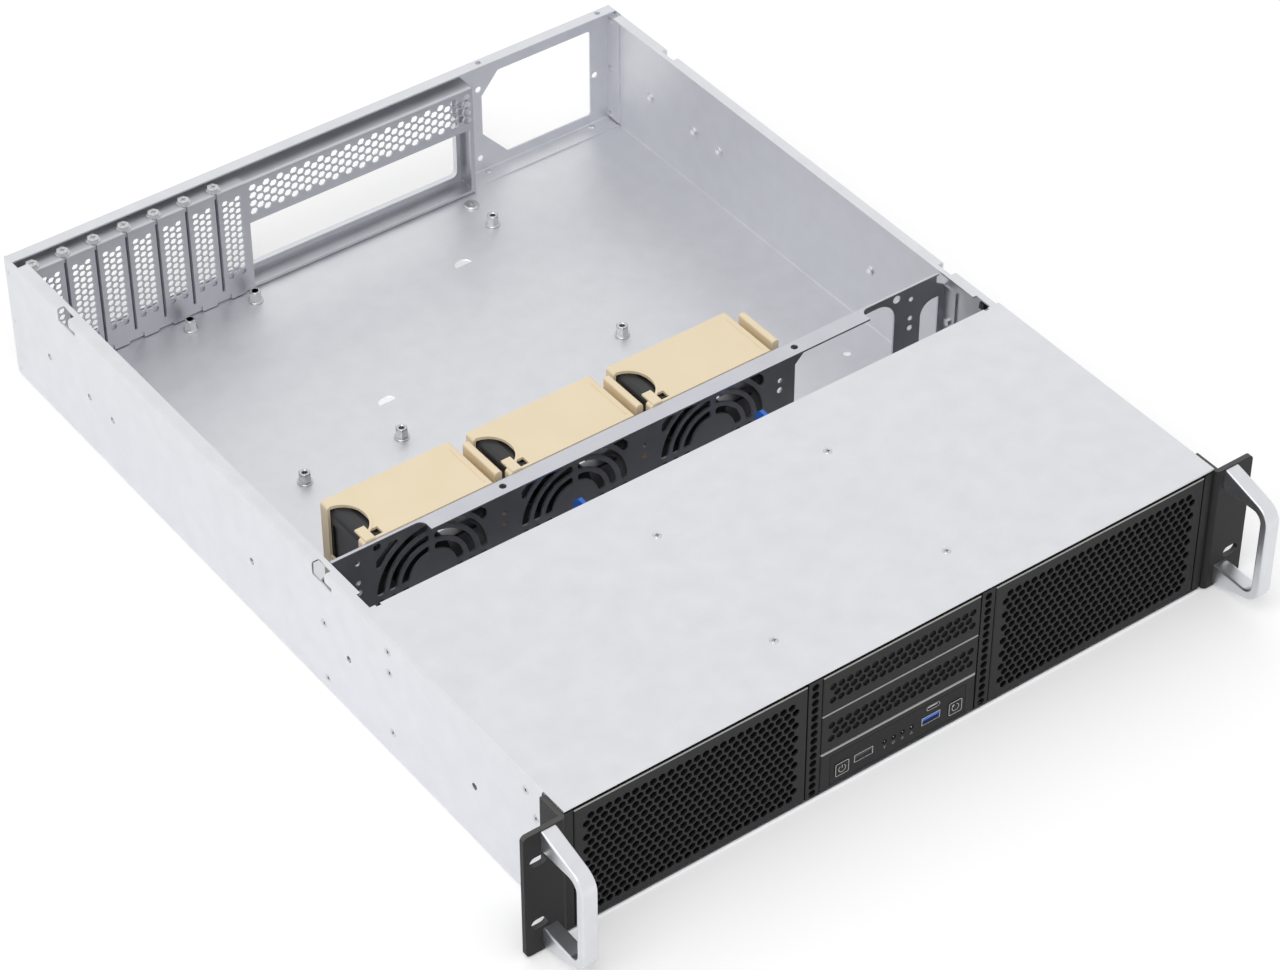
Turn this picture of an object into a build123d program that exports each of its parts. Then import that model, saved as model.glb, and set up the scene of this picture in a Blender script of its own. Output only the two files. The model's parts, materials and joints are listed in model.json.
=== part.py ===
from build123d import *
import math
import os

# An empty 2U rackmount server case with its rear lid off.
# Sizes are millimetres. X runs across the rack, Y from the front to the rear, Z up.
# Sub-parts are drawn with Y measured from the rack face of the ears, the floor's underside at Z = 0.
# The finished part is moved in Y so that its origin is the bottom centre of its bounding box.

# Overall sizes
RACK_WIDTH = 482.6
EAR_REACH = 26.3
BODY_HEIGHT = 87.5
CASE_DEPTH = 555.0
SHEET = 1.0
BEND = 1.6
FIT = 0.25

# Tray
WALL_LIP = 7.5
FRONT_WALL_LIP = 5.2
FLOOR_FRONT = 2.4
LIP_FRONT = 6.0
LIP_REAR_GAP = 15.0
LID_NOTCH_WIDTH = 12.0
LID_NOTCH_LEG = 6.5
LID_NOTCH_DEPTH = 8.2
LID_NOTCH_LEG_HEIGHT = 2.6
LID_NOTCH_REACH = 4.5
LID_NOTCH_SETBACK = 73.0
LID_NOTCH_LEAD = 7.5
RAIL_HOLE_HEIGHT = 40.5
RAIL_HOLE_SETBACKS = (473.5, 357.2, 261.6, 114.6, 89.1, 44.1)
RAIL_HOLE_RADIUS = 2.1
RAIL_DIMPLE_RADIUS = 3.6
FLOOR_HOLE_INSET = 28.3
FLOOR_HOLE_Y = 278.0
FLOOR_HOLE_RADIUS = 2.6

# Front cover
COVER_FRONT = 2.8
COVER_DEPTH = 178.5
SKIRT_HEIGHT = 14.5
SKIRT_FRONT_GAP = 0.8
COVER_SCREW_SPACING = 114.8
COVER_SCREW_ROWS = (37.9, 138.0)
COVER_NOTCH_INSET = 8.0
COVER_NOTCH_WIDTH = 3.0
COVER_NOTCH_DEPTH = 1.6

# Flush screws
SCREW_HEAD_RADIUS = 2.9
SCREW_RADIUS = 1.5
SCREW_HEAD_HEIGHT = 1.0
SCREW_LENGTH = 4.0
SCREW_FIT = 0.05
RECESS_RADIUS = 1.3
RECESS_WIDTH = 0.65
RECESS_DEPTH = 0.7
SKIRT_SCREW_POSITIONS = (34.0, 157.0)
SKIRT_SCREW_DROP = 10.0
WALL_SCREW_POSITIONS = ((27.0, 62.3), (158.0, 61.1), (158.0, 17.9), (221.0, 49.2), (221.0, 9.0))

# Rack ears and handles
EAR_THICKNESS = 3.0
EAR_BOTTOM = 0.8
EAR_TOP_GAP = 1.5
EAR_FLANGE_DEPTH = 19.0
EAR_CORNER = 3.0
SLOT_EDGE = 8.75
SLOT_SPACING_Z = 44.45
SLOT_LENGTH = 10.5
SLOT_WIDTH = 6.8
HANDLE_EDGE_GAP = 15.3
HANDLE_WIDTH = 9.4
HANDLE_REACH = 34.6
HANDLE_GRIP = 5.8
HANDLE_END_GAP = 1.3
HANDLE_SLOPE = 9.8
HANDLE_LEG_ROOT = 13.7
HANDLE_LEG_END = 12.7
HANDLE_OUTER_RADIUS = 12.0
HANDLE_INNER_RADIUS = 6.0
HANDLE_EDGE = 1.1
HANDLE_SCREW_INSET = 6.8
HANDLE_SCREW_RADIUS = 2.0
HANDLE_SCREW_LENGTH = 9.0
HANDLE_SCREW_HEAD_RADIUS = 3.5
HANDLE_SCREW_HEAD_HEIGHT = 2.0
EAR_SCREW_Y = 11.5
EAR_SCREW_LOW = 16.0
EAR_SCREW_DROP = 17.5

# Front frame and its panels
FRONT_SETBACK = 3.0
PANEL_SHEET = 1.2
PANEL_DEPTH = 3.0
PANEL_EDGE = 1.1
PANEL_GAP = 0.6
PANEL_BOTTOM = 1.2
PANEL_DROP = 3.9
FRAME_SIDE_GAP = 1.2
FRAME_DROP = 2.5
FRAME_SEAT = 4.0
STRIP_INNER = 53.0
STRIP_OUTER = 61.8
END_STRIP_INSET = 5.7
MESH_PITCH = 18.0
MESH_HOLE_RADIUS = 7.0
MESH_MARGIN = 9.0
BAY_COUNT = 3
BAY_HOLE_PITCH = 12.4
BAY_HOLE_RADIUS = 5.2
BAY_HOLE_HEIGHT = 18.0
BAY_HOLE_MARGIN = 6.0
STRIP_HOLE_COUNT = 5
STRIP_HOLE_RADIUS = 3.4

# Control panel in the bottom bay
BEZEL_WIDTH = 91.5
BEZEL_HEIGHT = 20.4
BEZEL_BOTTOM = 3.4
BEZEL_THICKNESS = 2.0
BEZEL_CORNER = 1.0
BEZEL_FLANGE = 3.0
BUTTON_SIZE = 9.0
BUTTON_PROUD = 0.4
BUTTON_CORNER = 1.2
BUTTON_EDGE = 0.4
BUTTON_CLEARANCE = 0.3
BUTTON_TRAVEL = 1.0
BUTTON_FLANGE = 0.8
STEM_SIZE = 3.0
POWER_X = -37.8
POWER_Z = 11.5
RESET_X = 39.0
RESET_Z = 11.2
FLAT_PORT_WIDTH = 12.6
FLAT_PORT_HEIGHT = 5.4
FLAT_PORT_WALL = 0.5
FLAT_PORT_TONGUE = 1.9
PORT_TONGUE_GAP = 1.0
FLAT_PORT_DEPTH = 9.0
LEFT_PORT_X = -23.0
RIGHT_PORT_X = 22.6
FLAT_PORT_Z = 12.2
OVAL_PORT_X = 23.6
OVAL_PORT_Z = 20.4
OVAL_PORT_WIDTH = 9.2
OVAL_PORT_HEIGHT = 3.2
OVAL_PORT_WALL = 0.4
OVAL_PORT_TONGUE = (6.4, 0.8)
LIGHT_POSITIONS = (-9.0, -3.0, 3.1, 9.2)
LIGHT_Z = 13.4
LIGHT_RADIUS = 1.1
LIGHT_HOLE_RADIUS = 1.5
BOARD_SETBACK = 13.0
BOARD_THICKNESS = 1.6
BOARD_MARGIN = 1.5
SWITCH_SIZE = 6.0

# Drive cage and its blue levers
CAGE_HALF_WIDTH = 60.4
CAGE_FRONT = 20.0
CAGE_REAR = 176.0
CAGE_DROP = 7.5
CAGE_SHELF_HEIGHT = 29.0
CAGE_WINDOW_LENGTH = 100.0
CAGE_WINDOW_HEIGHT = 14.0
LEVER_THICKNESS = 2.5
LEVER_GAP = 0.3
LEVER_PIVOT_Y = 158.0
LEVER_PIVOT_Z = 61.0
LEVER_REAR = 206.0
LEVER_TIP_TOP = 70.5
LEVER_TIP_HEIGHT = 13.0
LEVER_EYE_RADIUS = 7.0
LEVER_EYE_WAIST = 5.6
LEVER_CORNER = 4.0
STUD_RADIUS = 2.5
STUD_NECK_RADIUS = 1.75
STUD_HEAD_RADIUS = 4.0
STUD_HEAD_HEIGHT = 1.0
STUD_CLEARANCE = 0.08

# Fan wall
FAN_WALL_Y = 225.0
FAN_WALL_SHEET = 1.2
FAN_WALL_FLANGE = 11.5
FAN_WALL_FLANGE_INSET = 66.0
FAN_WALL_END_FLANGE = 10.0
FAN_WALL_END_DROP = 14.5
FAN_WALL_END_SLOPE = 5.0
FAN_WALL_TOP_GAP = 1.0
FAN_COUNT = 3
FAN_PITCH = 94.4
FIRST_FAN_INSET = 72.3
FAN_SIZE = 80.0
FAN_CENTRE_Z = 43.2
GRILLE_HUB = 12.8
GRILLE_SLOT = 5.0
GRILLE_RING = 2.8
GRILLE_RINGS = 3
GRILLE_SPOKE = 3.4
GRILLE_SQUARE = 71.4
GRILLE_CHAMFER = 9.0
GRILLE_END_RADIUS = 1.8
WALL_HOLE_HEIGHTS = (54.0, 61.0, 74.8)
WALL_HOLE_RADII = (1.9, 1.6, 1.6)
CORNER_HOLE_INSET = 38.0
CORNER_HOLE_DROP = 8.0
CORNER_HOLE_RADIUS = 2.6
FLANGE_HOLE_X = 99.2
FLANGE_HOLE_RADIUS = 2.1
CABLE_FAN_GAP = 57.9
CABLE_INSET = 39.0
CABLE_BOTTOM = 12.0
CABLE_DROP = 8.0
CABLE_CHAMFER = 12.0
CABLE_RADIUS = 13.0
SIDE_CABLE_INSET = 6.5
SIDE_CABLE_WIDTH = 13.1
SIDE_CABLE_DROP = 20.0
SIDE_CABLE_RADIUS = 9.0
CLIP_Y = 191.0
CLIP_LENGTH = 7.0
CLIP_HEIGHT = 5.4
CLIP_CHAMFER = 1.5

# Fans and their holders
FRAME_DEPTH = 38.0
FRAME_BORE_RADIUS = 38.0
FRAME_CORNER = 4.0
FRAME_SCREW_SPACING = 71.5
FRAME_SCREW_RADIUS = 2.2
FRAME_WAIST = 5.0
FRAME_PLATE = 5.0
FRAME_BORE_WALL = 1.0
STATOR_RADIUS = 18.0
STATOR_THICKNESS = 4.0
STATOR_SKIN = 1.0
STRUT_WIDTH = 4.0
ROTOR_HUB_RADIUS = 17.6
ROTOR_RADIUS = 36.6
ROTOR_LENGTH = 27.0
ROTOR_GAP = 0.6
ROTOR_EDGE = 2.0
BLADE_COUNT = 7
BLADE_THICKNESS = 1.6
BLADE_AXIAL = 21.0
BLADE_SWEEP = 15.0
BLADE_CAMBER = (1.8, -0.6)
BLADE_ROOT = 1.5
SHAFT_RADIUS = 1.5
SHAFT_REACH = 2.4
SHAFT_CLEARANCE = 0.05
HOLDER_GAP = 0.8
HOLDER_WALL = 1.6
HOLDER_FIT = 0.25
HOLDER_DEPTH = 42.0
HOLDER_TOP_THICKNESS = 1.8
HOLDER_CORNER = 2.0
FINGER_WIDTH = 14.0
FINGER_CORNER = 13.5
FINGER_DEPTH = 30.0
FINGER_DROP = 34.0
FINGER_FRONT = 5.0
LATCH_WIDTH = 6.0
LATCH_DEPTH = 11.0
LATCH_HEIGHT = 1.0
LATCH_HOLE = 6.0
ARM_OFFSET = 4.4
ARM_WIDTH = 4.4
ARM_LENGTH = 31.0
ARM_HEIGHT = 16.0
ARM_FOOT = 3.0

# Rear panel
REAR_FLANGE = 8.5
REAR_SIDE_FLANGE = 13.0
PSU_WIDTH = 82.4
PSU_INSET = 15.6
PSU_BOTTOM = 9.0
PSU_DROP = 14.8
PSU_LOW_CHAMFER_X = 18.5
PSU_LOW_CHAMFER_Z = 20.4
PSU_HIGH_CHAMFER_X = 12.5
PSU_HIGH_CHAMFER_Z = 14.8
PSU_CORNER = 2.0
PSU_HOLE_GAP_LEFT = 2.2
PSU_HOLE_GAP_RIGHT = 3.4
PSU_HOLE_DROP = 8.8
PSU_HOLE_LIFTS = (2.9, 29.0)
PSU_HOLE_RADIUS = 2.1
CONNECTOR_OFFSET = 69.85
CONNECTOR_WIDTH = 158.75
CONNECTOR_BOTTOM = 8.5
CONNECTOR_HEIGHT = 44.45
CONNECTOR_HEM = 4.0
CONNECTOR_CORNER = 4.0
TOP_HOLE_INSETS = (102.0, 12.0)
TOP_HOLE_RADIUS = 1.8
REAR_RIVET_LOW = 5.7
REAR_RIVET_MIDDLE = 40.9
REAR_RIVET_DROP = 10.8
REAR_RIVET_SETBACK = 4.0
RIVET_RADIUS = 1.2
RIVET_HEAD_RADIUS = 2.2
RIVET_CROWN_RADIUS = 1.3
RIVET_HEAD_HEIGHT = 0.6
FLOOR_RIVET_GAP = 17.5
FLOOR_RIVET_INSET = 17.3

# Slot and connector bracket
BRACKET_SETBACK = 16.5
BRACKET_REACH = 234.6
LEDGE_DROP = 6.5
SLOT_COUNT = 7
SLOT_PITCH = 20.32
FIRST_GAP_OFFSET = 71.82
COVER_WIDTH = 18.4
SLOT_OPENING_WIDTH = 13.4
SLOT_OPENING_BOTTOM = 16.0
SLOT_OPENING_DROP = 5.5
SLOT_APERTURE_BOTTOM = 8.5
SLOT_APERTURE_DROP = 1.5
VENT_OFFSET = 74.6
VENT_WIDTH = 156.0
VENT_LIFT = 4.8
VENT_DROP = 3.5
VENT_PITCH = 13.0
VENT_HOLE_RADIUS = 5.2
CONNECTOR_OPENING_OFFSET = 72.3
CONNECTOR_OPENING_WIDTH = 158.6
CONNECTOR_OPENING_BOTTOM = 4.0
CONNECTOR_OPENING_TOP = 50.2

# Slot covers and screws
TONGUE_WIDTH = 10.2
TONGUE_BOTTOM = 1.6
SHOULDER_HEIGHT = 9.0
TONGUE_SHOULDER = 5.0
COVER_TAB = 10.0
COVER_HOLE_RADIUS = 5.0
COVER_HOLE_COUNT = 5
COVER_HOLE_FOOT = 17.5
COVER_HOLE_DROP = 6.5
SLOT_SCREW_INSET = 1.0
SLOT_SCREW_SETBACK = 3.4
WASHER_RADIUS = 4.4
WASHER_HEIGHT = 0.9
HEX_FLATS = 6.4
HEX_HEIGHT = 2.4
CROSS_LENGTH = 3.4
CROSS_WIDTH = 0.8

# Standoffs
BOARD_INSET = 81.4
STANDOFF_OFFSETS = ((20.5, 26.5), (66.2, 26.5), (223.68, 49.4), (0, 183.98), (66.2, 183.98), (223.68, 183.98))
LOW_NUT_OFFSET = (223.68, 26.5)
STANDOFF_FLATS = 6.4
STANDOFF_HEIGHT = 7.5
STANDOFF_FLANGE_RADIUS = 4.6
STANDOFF_FLANGE_HEIGHT = 1.2
STANDOFF_BORE = 1.5
STANDOFF_BORE_DEPTH = 6.0
LOW_NUT_RADIUS = 4.6
LOW_NUT_HEIGHT = 1.8
LOW_NUT_EDGE = 0.5

# Worked-out places
HALF_WIDTH = RACK_WIDTH / 2 - EAR_REACH
WALL_INSIDE = HALF_WIDTH - SHEET
LID_SEAT = BODY_HEIGHT - SHEET
REAR_Y = CASE_DEPTH
CASE_SHIFT = (HANDLE_REACH - CASE_DEPTH) / 2
EAR_HEIGHT = BODY_HEIGHT - EAR_BOTTOM - EAR_TOP_GAP
EAR_CENTRE_Z = BODY_HEIGHT / 2
EAR_SCREW_HEIGHTS = (EAR_SCREW_LOW, BODY_HEIGHT - EAR_SCREW_DROP)
SLOT_SPACING_X = RACK_WIDTH - 2 * SLOT_EDGE
HANDLE_X = RACK_WIDTH / 2 - HANDLE_EDGE_GAP
HANDLE_HEIGHT = EAR_HEIGHT - 2 * HANDLE_END_GAP
HANDLE_SCREW_SPACING = HANDLE_HEIGHT - 2 * HANDLE_SCREW_INSET
PANEL_TOP = BODY_HEIGHT - PANEL_DROP
FRAME_TOP = BODY_HEIGHT - FRAME_DROP
END_STRIP_INNER = HALF_WIDTH - END_STRIP_INSET
CAGE_TOP = BODY_HEIGHT - CAGE_DROP
FRAME_SEAT_Y = FRONT_SETBACK + PANEL_DEPTH
FAN_SEAT_Y = FAN_WALL_Y + FAN_WALL_SHEET
FIRST_FAN_X = FIRST_FAN_INSET - HALF_WIDTH
FAN_WALL_FLANGE_HALF = HALF_WIDTH - FAN_WALL_FLANGE_INSET
FAN_WALL_END_TOP = BODY_HEIGHT - FAN_WALL_END_DROP
CORNER_HOLE_X = HALF_WIDTH - CORNER_HOLE_INSET
CORNER_HOLE_Z = BODY_HEIGHT - CORNER_HOLE_DROP
CABLE_LEFT = FIRST_FAN_X + (FAN_COUNT - 1) * FAN_PITCH + CABLE_FAN_GAP
CABLE_RIGHT = HALF_WIDTH - CABLE_INSET
CABLE_TOP = BODY_HEIGHT - CABLE_DROP
SIDE_CABLE_RIGHT = HALF_WIDTH - SIDE_CABLE_INSET
SIDE_CABLE_LEFT = SIDE_CABLE_RIGHT - SIDE_CABLE_WIDTH
SIDE_CABLE_TOP = BODY_HEIGHT - SIDE_CABLE_DROP
LID_NOTCH_STARTS = (FAN_WALL_Y - LID_NOTCH_LEAD, REAR_Y - LID_NOTCH_SETBACK)
BOARD_X = BOARD_INSET - HALF_WIDTH
FIRST_GAP_X = BOARD_X - FIRST_GAP_OFFSET
BRACKET_Y = REAR_Y - BRACKET_SETBACK
BRACKET_RIGHT = BOARD_X + BRACKET_REACH
LEDGE_HEIGHT = BODY_HEIGHT - LEDGE_DROP
SLOT_OPENING_TOP = LEDGE_HEIGHT - SLOT_OPENING_DROP
CONNECTOR_LEFT = BOARD_X + CONNECTOR_OFFSET
CONNECTOR_OPENING_LEFT = BOARD_X + CONNECTOR_OPENING_OFFSET
VENT_LEFT = BOARD_X + VENT_OFFSET
VENT_RIGHT = VENT_LEFT + VENT_WIDTH
VENT_BOTTOM = CONNECTOR_OPENING_TOP + VENT_LIFT
VENT_TOP = LEDGE_HEIGHT - VENT_DROP
COVER_HOLE_TOP = LEDGE_HEIGHT - COVER_HOLE_DROP
COVER_HOLE_PITCH = (COVER_HOLE_TOP - COVER_HOLE_FOOT) / COVER_HOLE_COUNT
PSU_RIGHT = HALF_WIDTH - PSU_INSET
PSU_LEFT = PSU_RIGHT - PSU_WIDTH
PSU_TOP = BODY_HEIGHT - PSU_DROP
TOP_HOLE_POSITIONS = [HALF_WIDTH - inset for inset in TOP_HOLE_INSETS]
REAR_RIVET_HEIGHTS = (REAR_RIVET_LOW, REAR_RIVET_MIDDLE, BODY_HEIGHT - REAR_RIVET_DROP)
FLOOR_RIVET_POSITIONS = (BRACKET_RIGHT + FLOOR_RIVET_GAP, HALF_WIDTH - FLOOR_RIVET_INSET)
BAY_HEIGHT = (PANEL_TOP - PANEL_BOTTOM - (BAY_COUNT - 1) * PANEL_GAP) / BAY_COUNT
COVER_REAR = COVER_FRONT + COVER_DEPTH


def block(x0, x1, y0, y1, z0, z1):
    """A plain block between two corners."""
    size = Box(x1 - x0, y1 - y0, z1 - z0, align=(Align.MIN, Align.MIN, Align.MIN))
    return Pos(x0, y0, z0) * size


def folded(points, wall, bend, plane, length, side=Side.LEFT):
    """A sheet bent along an open outline, thickened to one side and drawn out."""
    line = FilletPolyline(*points, radius=bend)
    return extrude(plane * make_face(offset(line, amount=wall, side=side)), amount=length)


def rod_y(x, y0, y1, z, radius):
    """A round bar along Y."""
    return Plane.XZ.offset(-y0) * Pos(x, z) * extrude(Circle(radius), amount=y0 - y1)


def rod_x(x0, x1, y, z, radius):
    """A round bar along X."""
    return extrude(Plane.YZ.offset(x0) * Pos(y, z) * Circle(radius), amount=x1 - x0)


def rod_z(x, y, z0, z1, radius):
    """A round bar along Z."""
    return extrude(Plane.XY.offset(z0) * Pos(x, y) * Circle(radius), amount=z1 - z0)


def plate_y(face, y0, y1):
    """A flat outline in X and Z drawn out from y0 to y1."""
    return extrude(Plane.XZ.offset(-y0) * face, amount=y0 - y1)


def mirrored(shape):
    """The same shape on the other side of the case."""
    return mirror(shape, about=Plane.YZ)


def group(shapes):
    """Separate solids kept in one node."""
    return Compound(children=list(shapes))


def hexagons(centres, radius, rotation=0):
    """Hexagonal holes at the given centres, as one sketch."""
    return Sketch() + [Pos(x, z) * RegularPolygon(radius, 6, rotation=rotation) for x, z in centres]


def hex_rows(x0, x1, z0, z1, pitch):
    """Centres of a staggered hexagonal pattern that fills a rectangle."""
    rise = pitch * math.sqrt(3) / 2
    rows = int((z1 - z0) // rise) + 1
    columns = int((x1 - x0) // pitch) + 1
    x_start = (x0 + x1 - (columns - 1) * pitch) / 2
    z_start = (z0 + z1 - (rows - 1) * rise) / 2
    centres = []
    for row in range(rows):
        shifted = row % 2
        for column in range(columns - shifted):
            centres.append((x_start + (column + shifted / 2) * pitch, z_start + row * rise))
    return centres


def flush_screw():
    """A countersunk screw along -Z with its head's face at the origin."""
    profile = Polyline((0, 0), (SCREW_HEAD_RADIUS, 0), (SCREW_RADIUS, -SCREW_HEAD_HEIGHT),
                       (SCREW_RADIUS, -SCREW_LENGTH), (0, -SCREW_LENGTH), close=True)
    screw = revolve(Plane.XZ * make_face(profile), axis=Axis.Z)
    slot = Box(2 * RECESS_RADIUS, RECESS_WIDTH, 2 * RECESS_DEPTH)
    return screw - slot - Rot(0, 0, 90) * slot


def flush_hole():
    """The countersunk hole for a flush screw."""
    head = SCREW_HEAD_RADIUS + SCREW_FIT
    shank = SCREW_RADIUS + SCREW_FIT
    profile = Polyline((0, SHEET), (head, SHEET), (head, 0), (shank, -SCREW_HEAD_HEIGHT),
                       (shank, -SCREW_LENGTH - SHEET), (0, -SCREW_LENGTH - SHEET), close=True)
    return revolve(Plane.XZ * make_face(profile), axis=Axis.Z)


def screw_shank_hole():
    """The plain hole for the shank of a flush screw."""
    return rod_z(0, 0, -SCREW_LENGTH - FIT, 0, SCREW_RADIUS + SCREW_FIT)


def top_screw_places():
    """Places of the screws in the top of the front cover."""
    return [Pos(side * COVER_SCREW_SPACING / 2, y, BODY_HEIGHT)
            for side in (-1, 1) for y in COVER_SCREW_ROWS]


def skirt_screw_places():
    """Places of the screws in the skirts of the front cover."""
    outside = HALF_WIDTH + SHEET
    return [Pos(side * outside, y, BODY_HEIGHT - SKIRT_SCREW_DROP) * Rot(0, side * 90, 0)
            for side in (-1, 1) for y in SKIRT_SCREW_POSITIONS]


def wall_screw_places():
    """Places of the screws in the side walls."""
    return [Pos(side * HALF_WIDTH, y, z) * Rot(0, side * 90, 0)
            for side in (-1, 1) for y, z in WALL_SCREW_POSITIONS]


def rear_rivet_places():
    """Places of the rivets that join the rear panel to the side walls, with their heads inside."""
    return [Pos(side * (WALL_INSIDE - SHEET), REAR_Y - REAR_RIVET_SETBACK, z) * Rot(0, -side * 90, 0)
            for side in (-1, 1) for z in REAR_RIVET_HEIGHTS]


def rivet(grip):
    """A rivet along -Z through a stack of sheets, its far end set flush."""
    profile = Polyline((0, RIVET_HEAD_HEIGHT), (RIVET_CROWN_RADIUS, RIVET_HEAD_HEIGHT),
                       (RIVET_HEAD_RADIUS, 0), (RIVET_RADIUS, 0), (RIVET_RADIUS, -grip), (0, -grip),
                       close=True)
    return revolve(Plane.XZ * make_face(profile), axis=Axis.Z)


def rivet_hole():
    """The hole that a rivet fills, through two sheets."""
    return Pos(0, 0, -SHEET) * Cylinder(RIVET_RADIUS + SCREW_FIT, 2 * SHEET + 2 * FIT)


def base_tray():
    """Floor and side walls, folded from one sheet."""
    edge = LID_SEAT
    outline = [(-HALF_WIDTH + WALL_LIP, edge), (-HALF_WIDTH, edge), (-HALF_WIDTH, 0),
               (HALF_WIDTH, 0), (HALF_WIDTH, edge), (HALF_WIDTH - WALL_LIP, edge)]
    tray = folded(outline, SHEET, BEND, Plane.XZ.offset(-FLOOR_FRONT), FLOOR_FRONT - REAR_Y)
    tray = tray - wall_lips(FLOOR_FRONT - FIT, LIP_FRONT) - wall_lips(REAR_Y - LIP_REAR_GAP, REAR_Y + FIT)
    tray = tray - narrowed_lips()
    tray = tray - lid_notches()
    tray = tray - rail_holes() + rail_collars()
    tray = tray - rod_z(HALF_WIDTH - FLOOR_HOLE_INSET, FLOOR_HOLE_Y, -FIT, SHEET + FIT, FLOOR_HOLE_RADIUS)
    holes = [place * flush_hole() for place in wall_screw_places()]
    holes += [place * screw_shank_hole() for place in skirt_screw_places()]
    holes += [place * rivet_hole() for place in rear_rivet_places() + floor_rivet_places()]
    holes += [place * ear_screw_hole() for place in ear_screw_places()]
    return tray - holes


def wall_lips(y0, y1):
    """The inward lips of both walls between two depths, as blocks to cut."""
    left = block(-WALL_INSIDE, -HALF_WIDTH + WALL_LIP + FIT, y0, y1, LID_SEAT - BEND - FIT, LID_SEAT + FIT)
    return left + mirrored(left)


def narrowed_lips():
    """What the lips lose beside the front cover."""
    left = block(-HALF_WIDTH + FRONT_WALL_LIP, -HALF_WIDTH + WALL_LIP + FIT, 0, CLIP_Y + CLIP_LENGTH / 2,
                 LID_SEAT - 2 * SHEET, LID_SEAT + FIT)
    return left + mirrored(left)


def lid_notches():
    """L-shaped cuts in the wall tops that take the lugs of the rear lid."""
    cuts = []
    for y0 in LID_NOTCH_STARTS:
        y1 = y0 + LID_NOTCH_WIDTH
        top = LID_SEAT + FIT
        bottom = LID_SEAT - LID_NOTCH_DEPTH
        inner = -HALF_WIDTH + LID_NOTCH_REACH
        left = block(-HALF_WIDTH - FIT, inner, y0, y1, bottom, top)
        leg = block(-HALF_WIDTH - FIT, -HALF_WIDTH + SHEET + FIT, y0 - LID_NOTCH_LEG, y0, bottom,
                    bottom + LID_NOTCH_LEG_HEIGHT)
        cuts += [left, leg, mirrored(left), mirrored(leg)]
    return cuts


def rail_holes():
    """Holes for the rack rails, countersunk from outside."""
    cuts = []
    for setback in RAIL_HOLE_SETBACKS:
        y = REAR_Y - setback
        hole = rod_x(-HALF_WIDTH - FIT, -HALF_WIDTH + 3 * SHEET, y, RAIL_HOLE_HEIGHT, RAIL_HOLE_RADIUS)
        cuts += [hole, mirrored(hole)]
    return cuts


def rail_collars():
    """Pressed collars around the rail holes, inside the walls."""
    collars = []
    for setback in RAIL_HOLE_SETBACKS:
        y = REAR_Y - setback
        ring = rod_x(-WALL_INSIDE, -WALL_INSIDE + SHEET, y, RAIL_HOLE_HEIGHT, RAIL_DIMPLE_RADIUS)
        bore = rod_x(-WALL_INSIDE - FIT, -WALL_INSIDE + 2 * SHEET, y, RAIL_HOLE_HEIGHT, RAIL_HOLE_RADIUS)
        collar = ring - bore
        collars += [collar, mirrored(collar)]
    return collars


def front_cover():
    """The fixed cover over the front, with a skirt down each side."""
    outside = HALF_WIDTH + SHEET
    skirt_front = EAR_FLANGE_DEPTH + SKIRT_FRONT_GAP
    low = BODY_HEIGHT - SKIRT_HEIGHT
    outline = [(-outside, low), (-outside, BODY_HEIGHT), (outside, BODY_HEIGHT), (outside, low)]
    length = skirt_front - COVER_REAR
    cover = folded(outline, SHEET, BEND, Plane.XZ.offset(-skirt_front), length, Side.RIGHT)
    nose = block(-HALF_WIDTH, HALF_WIDTH, COVER_FRONT, skirt_front, BODY_HEIGHT - SHEET, BODY_HEIGHT)
    cover = cover + nose
    notch_x = COVER_NOTCH_INSET - HALF_WIDTH
    notch = block(notch_x, notch_x + COVER_NOTCH_WIDTH, COVER_REAR - COVER_NOTCH_DEPTH, COVER_REAR + FIT,
                  BODY_HEIGHT - 2 * SHEET, BODY_HEIGHT + FIT)
    holes = [place * flush_hole() for place in top_screw_places() + skirt_screw_places()]
    return cover - notch - mirrored(notch) - holes


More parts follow.
